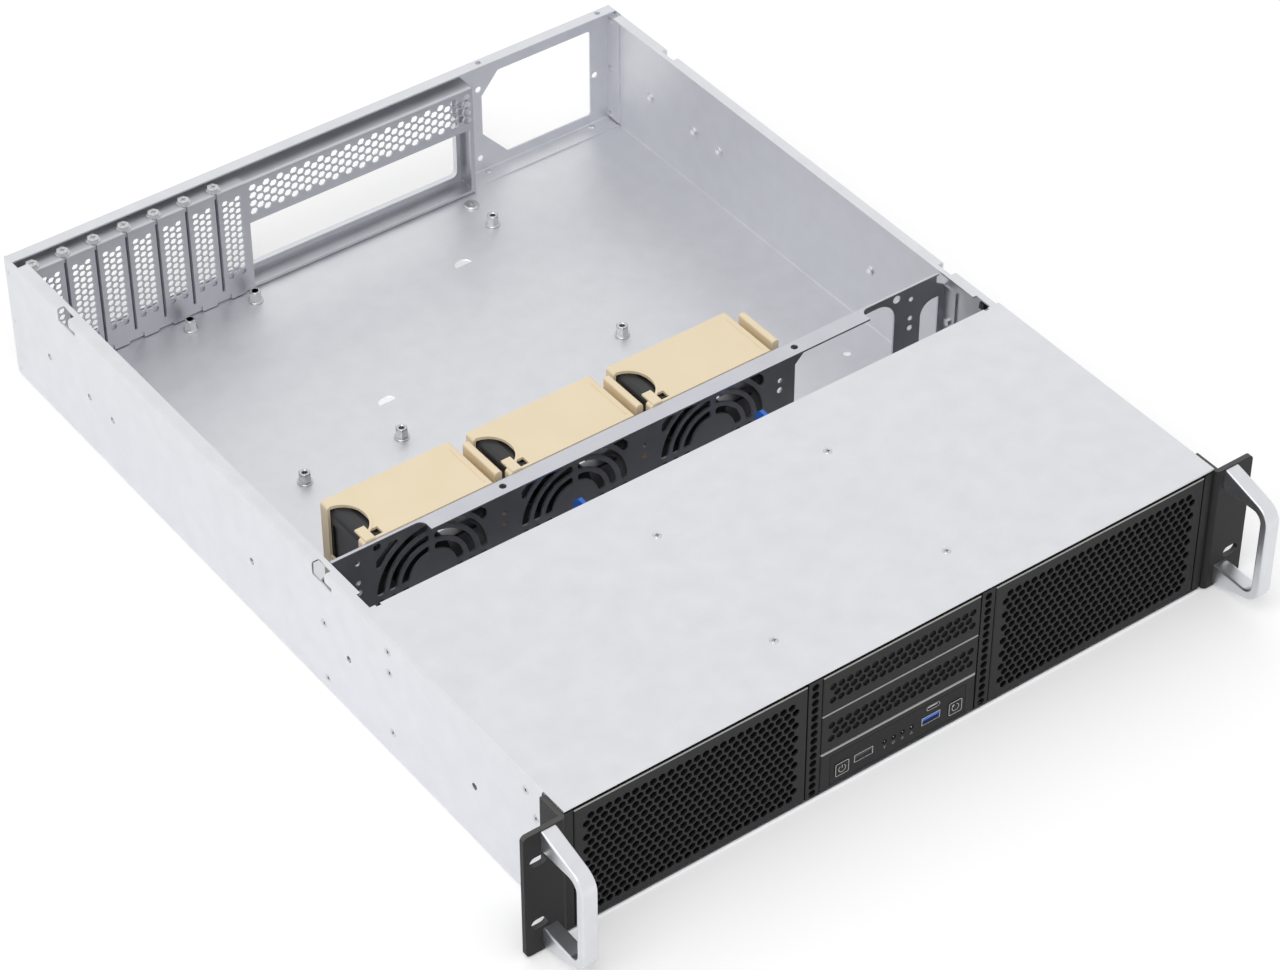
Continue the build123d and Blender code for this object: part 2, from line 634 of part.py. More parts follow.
def rear_panel():
    """The rear sheet with its top, side and bottom flanges."""
    inner = REAR_Y - SHEET
    outline = [(REAR_Y - REAR_FLANGE, LID_SEAT), (REAR_Y, LID_SEAT), (REAR_Y, SHEET),
               (REAR_Y - REAR_SIDE_FLANGE, SHEET)]
    panel = folded(outline, SHEET, BEND, Plane.YZ.offset(-WALL_INSIDE), 2 * WALL_INSIDE, Side.RIGHT)
    foot = block(-WALL_INSIDE - FIT, BRACKET_RIGHT + FIT, REAR_Y - REAR_SIDE_FLANGE - FIT, inner, SHEET - FIT,
                 2 * SHEET + BEND)
    side = block(-WALL_INSIDE, -WALL_INSIDE + SHEET, REAR_Y - REAR_SIDE_FLANGE, inner + FIT, 3 * SHEET,
                 LID_SEAT - 2 * SHEET)
    corner = block(-WALL_INSIDE - FIT, -WALL_INSIDE + BEND - SHEET, REAR_Y - REAR_SIDE_FLANGE - FIT,
                   REAR_Y + FIT, SHEET - FIT, BEND)
    panel = panel - foot - corner - mirrored(corner) + side + mirrored(side)
    window = connector_outline(0)
    frame = plate_y(connector_outline(SHEET) - window, REAR_Y - CONNECTOR_HEM, REAR_Y)
    aperture_top = LEDGE_HEIGHT - SLOT_APERTURE_DROP
    slots = Rectangle(SLOT_COUNT * SLOT_PITCH - 2 * SHEET, aperture_top - SLOT_APERTURE_BOTTOM)
    slots = Pos((slot_gap(0) + slot_gap(SLOT_COUNT)) / 2, (aperture_top + SLOT_APERTURE_BOTTOM) / 2) * slots
    panel = panel - plate_y(window + slots + supply_outline(), inner - FIT, REAR_Y + FIT) + frame
    holes = [rod_y(x, inner - FIT, REAR_Y + FIT, z, PSU_HOLE_RADIUS) for x, z in supply_hole_places()]
    holes += [rod_z(x, REAR_Y - REAR_FLANGE / 2, LID_SEAT - 2 * SHEET, BODY_HEIGHT, TOP_HOLE_RADIUS)
              for x in TOP_HOLE_POSITIONS]
    holes += [place * rivet_hole() for place in rear_rivet_places() + floor_rivet_places()]
    return panel - holes


def connector_outline(grow):
    """The outline of the connector window in X and Z, widened by a wall."""
    centre_x = CONNECTOR_LEFT + CONNECTOR_WIDTH / 2
    centre_z = CONNECTOR_BOTTOM + CONNECTOR_HEIGHT / 2
    outline = RectangleRounded(CONNECTOR_WIDTH + 2 * grow, CONNECTOR_HEIGHT + 2 * grow, CONNECTOR_CORNER)
    return Pos(centre_x, centre_z) * outline


def supply_outline():
    """The outline of the power supply aperture, with both left corners cut."""
    points = [(PSU_LEFT + PSU_LOW_CHAMFER_X, PSU_BOTTOM), (PSU_RIGHT, PSU_BOTTOM), (PSU_RIGHT, PSU_TOP),
              (PSU_LEFT + PSU_HIGH_CHAMFER_X, PSU_TOP), (PSU_LEFT, PSU_TOP - PSU_HIGH_CHAMFER_Z),
              (PSU_LEFT, PSU_BOTTOM + PSU_LOW_CHAMFER_Z)]
    face = make_face(Polyline(*points, close=True))
    return fillet(face.vertices().filter_by_position(Axis.X, PSU_RIGHT - FIT, PSU_RIGHT + FIT), PSU_CORNER)


def supply_hole_places():
    """X and Z of the power supply's three screw holes."""
    low, middle = [PSU_BOTTOM + lift for lift in PSU_HOLE_LIFTS]
    left = PSU_LEFT - PSU_HOLE_GAP_LEFT
    return [(left, PSU_TOP - PSU_HOLE_DROP), (left, low), (PSU_RIGHT + PSU_HOLE_GAP_RIGHT, middle)]


def floor_rivet_places():
    """Places of the rivets through the rear panel's bottom flange and the floor."""
    return [Pos(x, REAR_Y - REAR_RIVET_SETBACK, 2 * SHEET) for x in FLOOR_RIVET_POSITIONS]


def slot_gap(number):
    """The X of the gap line to the left of a slot, counted from zero."""
    return FIRST_GAP_X + number * SLOT_PITCH


def slot_centre(number):
    """The X of the middle of a slot, counted from zero."""
    return slot_gap(number) + SLOT_PITCH / 2


def slot_io_bracket():
    """The inset sheet that carries the slot covers, with its ledge and the vent above the connectors.

    Its left end meets the side wall, and is relieved round the rear panel's flange and the tray's bend.
    """
    left = FIT - WALL_INSIDE
    rear = REAR_Y - SHEET
    outline = [(rear, LEDGE_HEIGHT), (BRACKET_Y, LEDGE_HEIGHT), (BRACKET_Y, SHEET),
               (rear, SHEET)]
    sheet = folded(outline, SHEET, BEND, Plane.YZ.offset(left), BRACKET_RIGHT - left, Side.LEFT)
    side = block(BRACKET_RIGHT - SHEET, BRACKET_RIGHT, BRACKET_Y, rear, SHEET, LEDGE_HEIGHT - BEND)
    flange_room = block(left - FIT, left + SHEET, REAR_Y - REAR_SIDE_FLANGE - FIT, REAR_Y, 0, BODY_HEIGHT)
    bend_room = block(left - FIT, left + SHEET, BRACKET_Y - FIT, REAR_Y, 0, SHEET + BEND)
    sheet = sheet + side - flange_room - bend_room
    cuts = Sketch()
    for number in range(SLOT_COUNT):
        height = SLOT_OPENING_TOP - SLOT_OPENING_BOTTOM
        middle = (SLOT_OPENING_TOP + SLOT_OPENING_BOTTOM) / 2
        cuts += Pos(slot_centre(number), middle) * Rectangle(SLOT_OPENING_WIDTH, height)
    height = CONNECTOR_OPENING_TOP - CONNECTOR_OPENING_BOTTOM
    middle_x = CONNECTOR_OPENING_LEFT + CONNECTOR_OPENING_WIDTH / 2
    cuts += Pos(middle_x, CONNECTOR_OPENING_BOTTOM + height / 2) * Rectangle(CONNECTOR_OPENING_WIDTH, height)
    cuts += hexagons(hex_rows(VENT_LEFT + VENT_HOLE_RADIUS, VENT_RIGHT - VENT_HOLE_RADIUS,
                              VENT_BOTTOM + VENT_HOLE_RADIUS, VENT_TOP - VENT_HOLE_RADIUS, VENT_PITCH),
                     VENT_HOLE_RADIUS)
    holes = [rod_z(x, y, LEDGE_HEIGHT - 2 * SHEET, LEDGE_HEIGHT + SHEET, SCREW_RADIUS + SCREW_FIT)
             for x, y in slot_screw_places()]
    return sheet - plate_y(cuts, BRACKET_Y - FIT, BRACKET_Y + SHEET + FIT) - holes


def slot_screw_places():
    """X and Y of the slot screws, one beside the left edge of each slot cover."""
    y = BRACKET_Y + SLOT_SCREW_SETBACK
    return [(slot_gap(number) + SLOT_SCREW_INSET, y) for number in range(SLOT_COUNT)]


def slot_cover(number):
    """A vented cover over one slot: flat, narrowed at its foot, with a tab bent back on the ledge."""
    front = BRACKET_Y - SHEET
    x = slot_centre(number)
    half = COVER_WIDTH / 2
    seat = LEDGE_HEIGHT + SHEET
    outline = [(front + COVER_TAB, seat), (front, seat), (front, TONGUE_BOTTOM)]
    cover = folded(outline, SHEET, BEND, Plane.YZ.offset(x - half), COVER_WIDTH, Side.LEFT)
    tongue = TONGUE_WIDTH / 2
    shoulder = make_face(Polyline((tongue, 0), (tongue, TONGUE_SHOULDER), (half + FIT, SHOULDER_HEIGHT),
                                  (half + FIT, 0), close=True))
    holes = [(0, COVER_HOLE_FOOT + (k + 0.5) * COVER_HOLE_PITCH) for k in range(COVER_HOLE_COUNT)]
    cuts = shoulder + mirror(shoulder, about=Plane.YZ) + hexagons(holes, COVER_HOLE_RADIUS)
    cover = cover - plate_y(Pos(x, 0) * cuts, front - FIT, front + SHEET + FIT)
    screw_x, screw_y = slot_screw_places()[number]
    radius = SCREW_RADIUS + SCREW_FIT
    notch = rod_z(screw_x, screw_y, LEDGE_HEIGHT - SHEET, seat + SHEET, radius)
    mouth = block(x - half - FIT, screw_x, screw_y - radius, screw_y + radius, LEDGE_HEIGHT - SHEET,
                  seat + SHEET)
    return cover - notch - mouth


def slot_screws():
    """Seven hexagonal washer-head screws with a cross recess."""
    seat = LEDGE_HEIGHT + SHEET
    screws = []
    for x, y in slot_screw_places():
        screw = rod_z(x, y, seat, seat + WASHER_HEIGHT, WASHER_RADIUS)
        hexagon = RegularPolygon(HEX_FLATS / 2, 6, major_radius=False)
        head = Pos(x, y, seat) * extrude(hexagon, amount=HEX_HEIGHT)
        shank = rod_z(x, y, seat - SCREW_LENGTH, seat, SCREW_RADIUS)
        recess = Pos(x, y, seat + HEX_HEIGHT)
        slot = recess * Box(CROSS_LENGTH, CROSS_WIDTH, 2 * RECESS_DEPTH)
        cross = recess * Box(CROSS_WIDTH, CROSS_LENGTH, 2 * RECESS_DEPTH)
        screws.append(screw + head + shank - slot - cross)
    return group(screws)


def fan_x(number):
    """The X of a fan's axis, counted from zero."""
    return FIRST_FAN_X + number * FAN_PITCH


def grille_outline(number):
    """The openings of one pressed grille: arcs round a hub disc and four cut corners, with spokes left."""
    outer = GRILLE_HUB
    slots = Sketch()
    for _ in range(GRILLE_RINGS):
        inner = outer + GRILLE_RING
        outer = inner + GRILLE_SLOT
        slots += Circle(outer) - Circle(inner)
    square = chamfer(Rectangle(GRILLE_SQUARE, GRILLE_SQUARE).vertices(), GRILLE_CHAMFER)
    slots += square - Circle(outer + GRILLE_RING)
    slots -= Rectangle(GRILLE_SPOKE, 2 * GRILLE_SQUARE)
    slots -= Rectangle(2 * GRILLE_SQUARE, GRILLE_SPOKE)
    slots = fillet(slots.vertices(), GRILLE_END_RADIUS)
    return Pos(fan_x(number), FAN_CENTRE_Z) * slots


def cable_outline():
    """The wide cable opening beside the fans: one corner cut, the other round."""
    points = [(CABLE_LEFT, CABLE_BOTTOM), (CABLE_RIGHT, CABLE_BOTTOM), (CABLE_RIGHT, CABLE_TOP),
              (CABLE_LEFT, CABLE_TOP)]
    face = make_face(Polyline(*points, close=True))
    top = face.vertices().group_by(Axis.Y)[-1].sort_by(Axis.X)
    face = chamfer(top[0], CABLE_CHAMFER)
    top = face.vertices().group_by(Axis.Y)[-1].sort_by(Axis.X)
    return fillet(top[-1], CABLE_RADIUS)


def side_cable_outline():
    """The narrow cable opening at the right wall, round at one corner."""
    width = SIDE_CABLE_RIGHT - SIDE_CABLE_LEFT
    height = SIDE_CABLE_TOP - CABLE_BOTTOM
    face = Pos(SIDE_CABLE_LEFT + width / 2, CABLE_BOTTOM + height / 2) * Rectangle(width, height)
    corner = face.vertices().group_by(Axis.Y)[-1].sort_by(Axis.X)[0]
    return fillet(corner, SIDE_CABLE_RADIUS)


def fan_wall():
    """The folded bulkhead in front of the fans."""
    top = LID_SEAT - FAN_WALL_TOP_GAP
    outline = [(FAN_SEAT_Y - FAN_WALL_FLANGE, top), (FAN_SEAT_Y, top), (FAN_SEAT_Y, SHEET)]
    wall = folded(outline, FAN_WALL_SHEET, BEND, Plane.YZ.offset(-WALL_INSIDE), 2 * WALL_INSIDE, Side.RIGHT)
    flange_front = FAN_SEAT_Y - FAN_WALL_FLANGE
    side = block(-WALL_INSIDE - FIT, -FAN_WALL_FLANGE_HALF, flange_front - FIT, FAN_WALL_Y - BEND,
                 top - 2 * FAN_WALL_SHEET, top + FIT)
    wall = wall - side - mirrored(side)
    end_front = FAN_WALL_Y - FAN_WALL_END_FLANGE
    end = block(-WALL_INSIDE, -WALL_INSIDE + FAN_WALL_SHEET, end_front, FAN_SEAT_Y, SHEET, FAN_WALL_END_TOP)
    heel = block(-WALL_INSIDE - FIT, -WALL_INSIDE + BEND - SHEET, end_front - FIT, FAN_SEAT_Y + FIT,
                 SHEET - FIT, BEND)
    wall = wall + end + mirrored(end) - heel - mirrored(heel)
    corner_x = WALL_INSIDE - WALL_LIP
    corner = make_face(Polyline((WALL_INSIDE + FIT, FAN_WALL_END_TOP), (WALL_INSIDE + FIT, top + FIT),
                                (corner_x, top + FIT), (corner_x, FAN_WALL_END_TOP + FAN_WALL_END_SLOPE),
                                close=True))
    corners = plate_y(corner + mirror(corner, about=Plane.YZ), flange_front - FIT, FAN_SEAT_Y + FIT)
    wall = wall - corners
    cuts = cable_outline() + side_cable_outline()
    for number in range(FAN_COUNT):
        cuts += grille_outline(number)
    wall = wall - plate_y(cuts, FAN_WALL_Y - FIT, FAN_SEAT_Y + FIT)
    lip_room = block(-HALF_WIDTH, -WALL_INSIDE + WALL_LIP, FAN_WALL_Y - 2 * BEND, FAN_SEAT_Y + FIT,
                     LID_SEAT - SHEET - FIT, LID_SEAT)
    holes = [lip_room, mirrored(lip_room)]
    for column in range(FAN_COUNT + 2):
        x = fan_x(column) - FAN_PITCH / 2
        for height, radius in zip(WALL_HOLE_HEIGHTS, WALL_HOLE_RADII):
            holes.append(rod_y(x, FAN_WALL_Y - FIT, FAN_SEAT_Y + FIT, height, radius))
    for side in (-1, 1):
        holes.append(rod_y(side * CORNER_HOLE_X, FAN_WALL_Y - FIT, FAN_SEAT_Y + FIT, CORNER_HOLE_Z,
                           CORNER_HOLE_RADIUS))
        holes.append(rod_z(side * FLANGE_HOLE_X, FAN_SEAT_Y - FAN_WALL_FLANGE / 2, top - 2 * FAN_WALL_SHEET,
                           LID_SEAT, FLANGE_HOLE_RADIUS))
    holes += [place * screw_shank_hole() for place in wall_screw_places()]
    return wall - holes


def fan_frame(number):
    """The square fan housing with its bore, screw holes, struts and stator plate."""
    x = fan_x(number)
    front = FAN_SEAT_Y + HOLDER_GAP
    rear = front + FRAME_DEPTH
    half = FAN_SIZE / 2
    outline = fillet(Rectangle(FAN_SIZE, FAN_SIZE).vertices(), FRAME_CORNER)
    body = plate_y(Pos(x, FAN_CENTRE_Z) * (outline - Circle(FRAME_BORE_RADIUS)), front, rear)
    waist = block(-FRAME_SCREW_SPACING / 2 + FRAME_WAIST, FRAME_SCREW_SPACING / 2 - FRAME_WAIST,
                  front + FRAME_PLATE, rear - FRAME_PLATE, FRAME_BORE_RADIUS + FRAME_BORE_WALL, half + FIT)
    for turn in range(4):
        body = body - Pos(x, 0, FAN_CENTRE_Z) * Rot(0, 90 * turn, 0) * waist
    strut = Rectangle(STRUT_WIDTH, 2 * FRAME_BORE_RADIUS + FRAME_BORE_WALL)
    struts = Rot(0, 0, 45) * strut + Rot(0, 0, -45) * strut + Circle(STATOR_RADIUS)
    body = body + plate_y(Pos(x, FAN_CENTRE_Z) * struts, rear - STATOR_THICKNESS, rear)
    offsets = [(i, k) for i in (-1, 1) for k in (-1, 1)]
    holes = [rod_y(x + i * FRAME_SCREW_SPACING / 2, front - FIT, rear + FIT,
                   FAN_CENTRE_Z + k * FRAME_SCREW_SPACING / 2, FRAME_SCREW_RADIUS) for i, k in offsets]
    bearing = SHAFT_RADIUS + SHAFT_CLEARANCE
    holes.append(rod_y(x, rear - STATOR_THICKNESS - FIT, rear - STATOR_SKIN, FAN_CENTRE_Z, bearing))
    return body - holes


def fan_rotor(number):
    """The bladed rotor with its shaft, which turns in the stator plate."""
    x = fan_x(number)
    stator = FAN_SEAT_Y + HOLDER_GAP + FRAME_DEPTH - STATOR_THICKNESS
    rear = stator - ROTOR_GAP
    front = rear - ROTOR_LENGTH
    hub = Cylinder(ROTOR_HUB_RADIUS, ROTOR_LENGTH)
    hub = fillet(hub.edges().filter_by(GeomType.CIRCLE).sort_by(Axis.Z)[-1], ROTOR_EDGE)
    rise = BLADE_AXIAL / 2
    camber = ThreePointArc((-BLADE_SWEEP / 2, -rise), BLADE_CAMBER, (BLADE_SWEEP / 2, rise))
    section = make_face(offset(camber, amount=BLADE_THICKNESS, side=Side.LEFT))
    blade = extrude(Plane.YZ.offset(ROTOR_HUB_RADIUS - BLADE_ROOT) * section, amount=ROTOR_RADIUS)
    sweep = Cylinder(ROTOR_RADIUS, ROTOR_LENGTH)
    blade = blade & sweep
    rotor = hub
    for turn in range(BLADE_COUNT):
        rotor = rotor + Rot(0, 0, turn * 360 / BLADE_COUNT) * blade
    rotor = rotor + rod_z(0, 0, -ROTOR_LENGTH / 2 - SHAFT_REACH, -ROTOR_LENGTH / 2 + FIT, SHAFT_RADIUS)
    return Pos(x, (front + rear) / 2, FAN_CENTRE_Z) * Rot(90, 0, 0) * rotor


def fan_holder(number):
    """The moulded holder round one fan, with a finger hole, a latch block and a spring arm."""
    x = fan_x(number)
    front = FAN_SEAT_Y + FIT
    rear = front + HOLDER_DEPTH
    inside = FAN_SIZE / 2 + HOLDER_FIT
    outside = inside + HOLDER_WALL
    bottom = SHEET + FIT
    top = FAN_CENTRE_Z + inside + HOLDER_TOP_THICKNESS
    middle = (top + bottom) / 2
    shell = Pos(x, middle) * RectangleRounded(2 * outside, top - bottom, HOLDER_CORNER)
    opening = Pos(x, FAN_CENTRE_Z) * Rectangle(2 * inside, 2 * inside)
    holder = plate_y(shell - opening, front, rear)
    finger = RectangleRounded(2 * FINGER_WIDTH, FINGER_DEPTH, FINGER_CORNER)
    finger_y = front + FINGER_FRONT + FINGER_DEPTH / 2
    bite = extrude(Plane.XY.offset(top - FINGER_DROP) * Pos(x - outside, finger_y) * finger,
                   amount=FINGER_DROP + FIT)
    block_x = x - outside + HOLDER_WALL
    latch = block(block_x, block_x + LATCH_WIDTH, front, front + LATCH_DEPTH, top - FIT, top + LATCH_HEIGHT)
    pocket = block(block_x + LATCH_WIDTH, block_x + LATCH_WIDTH + LATCH_HOLE, front + HOLDER_WALL,
                   front + HOLDER_WALL + LATCH_HOLE, top - 2 * HOLDER_TOP_THICKNESS, top + FIT)
    arm_x = x + outside + ARM_OFFSET
    arm_y = front + FINGER_FRONT
    arm = block(arm_x, arm_x + ARM_WIDTH, arm_y, arm_y + ARM_LENGTH, top - ARM_HEIGHT, top)
    arm = fillet(arm.edges().filter_by(Axis.Y).group_by(Axis.Z)[-1], ARM_WIDTH / 3)
    foot = block(x + outside - FIT, arm_x + FIT, arm_y, arm_y + ARM_LENGTH, top - ARM_HEIGHT,
                 top - ARM_HEIGHT + ARM_FOOT)
    return holder - bite + latch - pocket + arm + foot


def mesh_panel(side):
    """A hexagonal mesh panel: a shallow folded tray with a rounded front edge."""
    x0 = STRIP_OUTER + PANEL_GAP
    x1 = END_STRIP_INNER - PANEL_GAP
    panel = panel_tray(x0, x1, PANEL_BOTTOM, PANEL_TOP)
    centres = hex_rows(x0 + MESH_MARGIN + MESH_HOLE_RADIUS, x1 - MESH_MARGIN - MESH_HOLE_RADIUS,
                       PANEL_BOTTOM + MESH_MARGIN, PANEL_TOP - MESH_MARGIN, MESH_PITCH)
    holes = hexagons(centres, MESH_HOLE_RADIUS, rotation=30)
    panel = panel - plate_y(holes, FRONT_SETBACK - FIT, FRONT_SETBACK + PANEL_SHEET + FIT)
    return panel if side > 0 else mirrored(panel)


def panel_tray(x0, x1, z0, z1):
    """A front sheet with short returns all round and a rounded front edge."""
    outer = block(x0, x1, FRONT_SETBACK, FRONT_SETBACK + PANEL_DEPTH, z0, z1)
    outer = fillet(outer.faces().sort_by(Axis.Y)[0].edges(), PANEL_EDGE)
    inner = block(x0 + PANEL_SHEET, x1 - PANEL_SHEET, FRONT_SETBACK + PANEL_SHEET,
                  FRONT_SETBACK + PANEL_DEPTH + FIT, z0 + PANEL_SHEET, z1 - PANEL_SHEET)
    return outer - inner


def bay_bottom(number):
    """The Z of the lower edge of a bay cover, counted from the bottom."""
    return PANEL_BOTTOM + number * (BAY_HEIGHT + PANEL_GAP)


def bay_half_width():
    """Half of the width of the bay covers."""
    return STRIP_INNER - PANEL_GAP


def bay_cover(number):
    """A blank cover over one drive bay, with a band of holes."""
    half = bay_half_width()
    z0 = bay_bottom(number)
    cover = panel_tray(-half, half, z0, z0 + BAY_HEIGHT)
    centres = hex_rows(-half + BAY_HOLE_MARGIN, half - BAY_HOLE_MARGIN, z0 + BAY_HOLE_HEIGHT - FIT,
                       z0 + BAY_HOLE_HEIGHT + FIT, BAY_HOLE_PITCH)
    holes = hexagons(centres, BAY_HOLE_RADIUS, rotation=30)
    return cover - plate_y(holes, FRONT_SETBACK - FIT, FRONT_SETBACK + PANEL_SHEET + FIT)


def bezel_centre_z():
    """The Z of the middle of the control bezel."""
    return BEZEL_BOTTOM + BEZEL_HEIGHT / 2


def control_panel():
    """The bottom bay cover with a window for the control bezel."""
    half = bay_half_width()
    cover = panel_tray(-half, half, bay_bottom(0), bay_bottom(0) + BAY_HEIGHT)
    window = RectangleRounded(BEZEL_WIDTH + 2 * FIT, BEZEL_HEIGHT + 2 * FIT, BEZEL_CORNER)
    window = Pos(0, bezel_centre_z()) * window
    return cover - plate_y(window, FRONT_SETBACK - FIT, FRONT_SETBACK + PANEL_SHEET + FIT)


def button_outline(x, z, grow):
    """The rounded square of a button, widened by a clearance."""
    return Pos(x, z) * RectangleRounded(BUTTON_SIZE + 2 * grow, BUTTON_SIZE + 2 * grow, BUTTON_CORNER)


def flat_port_outline(x, grow):
    """The outline of a flat data port."""
    return Pos(x, FLAT_PORT_Z) * Rectangle(FLAT_PORT_WIDTH + 2 * grow, FLAT_PORT_HEIGHT + 2 * grow)


def oval_port_outline(grow):
    """The outline of the oval data port."""
    height = OVAL_PORT_HEIGHT + 2 * grow
    return Pos(OVAL_PORT_X, OVAL_PORT_Z) * SlotOverall(OVAL_PORT_WIDTH + 2 * grow, height)


def control_bezel():
    """The moulded bezel with holes for the buttons, ports and lights, and its two feet on the board."""
    face = Pos(0, bezel_centre_z()) * RectangleRounded(BEZEL_WIDTH, BEZEL_HEIGHT, BEZEL_CORNER)
    face -= button_outline(POWER_X, POWER_Z, BUTTON_CLEARANCE)
    face -= button_outline(RESET_X, RESET_Z, BUTTON_CLEARANCE)
    face -= flat_port_outline(LEFT_PORT_X, FIT)
    face -= flat_port_outline(RIGHT_PORT_X, FIT)
    face -= oval_port_outline(FIT)
    for x in LIGHT_POSITIONS:
        face -= Pos(x, LIGHT_Z) * Circle(LIGHT_HOLE_RADIUS)
    flange = Rectangle(BEZEL_WIDTH + 2 * BEZEL_FLANGE, BEZEL_HEIGHT - 2 * BEZEL_CORNER)
    flange = Pos(0, bezel_centre_z()) * (flange - Rectangle(BEZEL_WIDTH - BEZEL_CORNER, BEZEL_HEIGHT))
    bezel = plate_y(face, FRONT_SETBACK, FRONT_SETBACK + BEZEL_THICKNESS)
    bezel = bezel + plate_y(flange, FRONT_SETBACK + PANEL_SHEET, FRONT_SETBACK + BEZEL_THICKNESS)
    low = bezel_centre_z() + STEM_SIZE
    foot = block(-STEM_SIZE / 2, STEM_SIZE / 2, FRONT_SETBACK + BEZEL_THICKNESS - FIT,
                 FRONT_SETBACK + BOARD_SETBACK, low, low + STEM_SIZE)
    left_foot = Pos((POWER_X + LEFT_PORT_X) / 2, 0, 0) * foot
    return bezel + left_foot + Pos((RESET_X + RIGHT_PORT_X) / 2, 0, 0) * foot


def push_button(x, z):
    """A button cap with a flange behind the bezel and a stem towards its switch."""
    front = FRONT_SETBACK - BUTTON_PROUD
    behind = FRONT_SETBACK + BEZEL_THICKNESS + FIT
    cap = plate_y(button_outline(x, z, 0), front, behind + BUTTON_FLANGE)
    cap = fillet(cap.faces().sort_by(Axis.Y)[0].edges(), BUTTON_EDGE)
    flange = plate_y(button_outline(x, z, BUTTON_FLANGE + BUTTON_CLEARANCE), behind, behind + BUTTON_FLANGE)
    stem_end = FRONT_SETBACK + BOARD_SETBACK - SWITCH_SIZE / 2 - BUTTON_TRAVEL - BUTTON_CLEARANCE
    stem = plate_y(Pos(x, z) * Rectangle(STEM_SIZE, STEM_SIZE), behind, stem_end)
    return cap + flange + stem


def flat_port(x):
    """A flat data port: shell with a tongue inside."""
    front = FRONT_SETBACK
    rear = FRONT_SETBACK + BOARD_SETBACK
    shell = plate_y(flat_port_outline(x, 0), front, rear)
    cavity = plate_y(flat_port_outline(x, -FLAT_PORT_WALL), front - FIT, front + FLAT_PORT_DEPTH)
    tongue_half = FLAT_PORT_WIDTH / 2 - FLAT_PORT_WALL - PORT_TONGUE_GAP
    tongue_top = FLAT_PORT_Z + FLAT_PORT_HEIGHT / 2 - FLAT_PORT_WALL - PORT_TONGUE_GAP / 2
    tongue = block(x - tongue_half, x + tongue_half, front + FLAT_PORT_WALL, front + FLAT_PORT_DEPTH + FIT,
                   tongue_top - FLAT_PORT_TONGUE, tongue_top)
    return shell - cavity + tongue


def oval_port():
    """The oval data port: shell with a thin tongue inside."""
    front = FRONT_SETBACK
    shell = plate_y(oval_port_outline(0), front, FRONT_SETBACK + BOARD_SETBACK)
    cavity = plate_y(oval_port_outline(-OVAL_PORT_WALL), front - FIT, front + FLAT_PORT_DEPTH)
    tongue = plate_y(Pos(OVAL_PORT_X, OVAL_PORT_Z) * Rectangle(*OVAL_PORT_TONGUE), front + FLAT_PORT_WALL,
                     front + FLAT_PORT_DEPTH + FIT)
    return shell - cavity + tongue


def indicator_lights():
    """Four light guides from the board to the bezel."""
    return group(rod_y(x, FRONT_SETBACK + FIT, FRONT_SETBACK + BOARD_SETBACK, LIGHT_Z, LIGHT_RADIUS)
                 for x in LIGHT_POSITIONS)


def control_board():
    """The board behind the bezel, with a push switch for each button."""
    front = FRONT_SETBACK + BOARD_SETBACK
    half = BEZEL_WIDTH / 2 - BOARD_MARGIN
    board = block(-half, half, front, front + BOARD_THICKNESS, BEZEL_BOTTOM, BEZEL_BOTTOM + BEZEL_HEIGHT)
    size = SWITCH_SIZE / 2
    for x, z in ((POWER_X, POWER_Z), (RESET_X, RESET_Z)):
        board = board + block(x - size, x + size, front - size, front + FIT, z - size, z + size)
    return board


def front_frame():
    """The black front frame: pressed strips stand forward between the panels, with seats behind them."""
    y0 = FRONT_SETBACK
    y1 = FRAME_SEAT_Y
    half = HALF_WIDTH - FRAME_SIDE_GAP
    right = [(STRIP_INNER, y1), (STRIP_INNER, y0), (STRIP_OUTER, y0), (STRIP_OUTER, y1),
             (END_STRIP_INNER, y1), (END_STRIP_INNER, y0), (half, y0)]
    left = [(-x, y) for x, y in reversed(right)]
    line = Polyline(*left, *right)
    section = make_face(offset(line, amount=PANEL_SHEET, side=Side.LEFT, kind=Kind.INTERSECTION))
    frame = extrude(Plane.XY.offset(PANEL_BOTTOM + FIT) * section, amount=FRAME_TOP - PANEL_BOTTOM - FIT)
    cuts = Sketch()
    seat_z = (PANEL_BOTTOM + PANEL_TOP) / 2
    seat_height = PANEL_TOP - PANEL_BOTTOM - 2 * FRAME_SEAT
    side_x = (STRIP_OUTER + END_STRIP_INNER) / 2
    side_width = END_STRIP_INNER - STRIP_OUTER - 2 * FRAME_SEAT
    for x, width in ((-side_x, side_width), (0, 2 * STRIP_INNER - 2 * FRAME_SEAT), (side_x, side_width)):
        cuts += Pos(x, seat_z) * Rectangle(width, seat_height)
    spacing = (PANEL_TOP - PANEL_BOTTOM) / STRIP_HOLE_COUNT
    strip_x = (STRIP_INNER + STRIP_OUTER) / 2
    for k in range(STRIP_HOLE_COUNT):
        z = PANEL_BOTTOM + (k + 0.5) * spacing
        cuts += hexagons([(-strip_x, z), (strip_x, z)], STRIP_HOLE_RADIUS)
    return frame - plate_y(cuts, y0 - FIT, y1 + PANEL_SHEET + FIT)


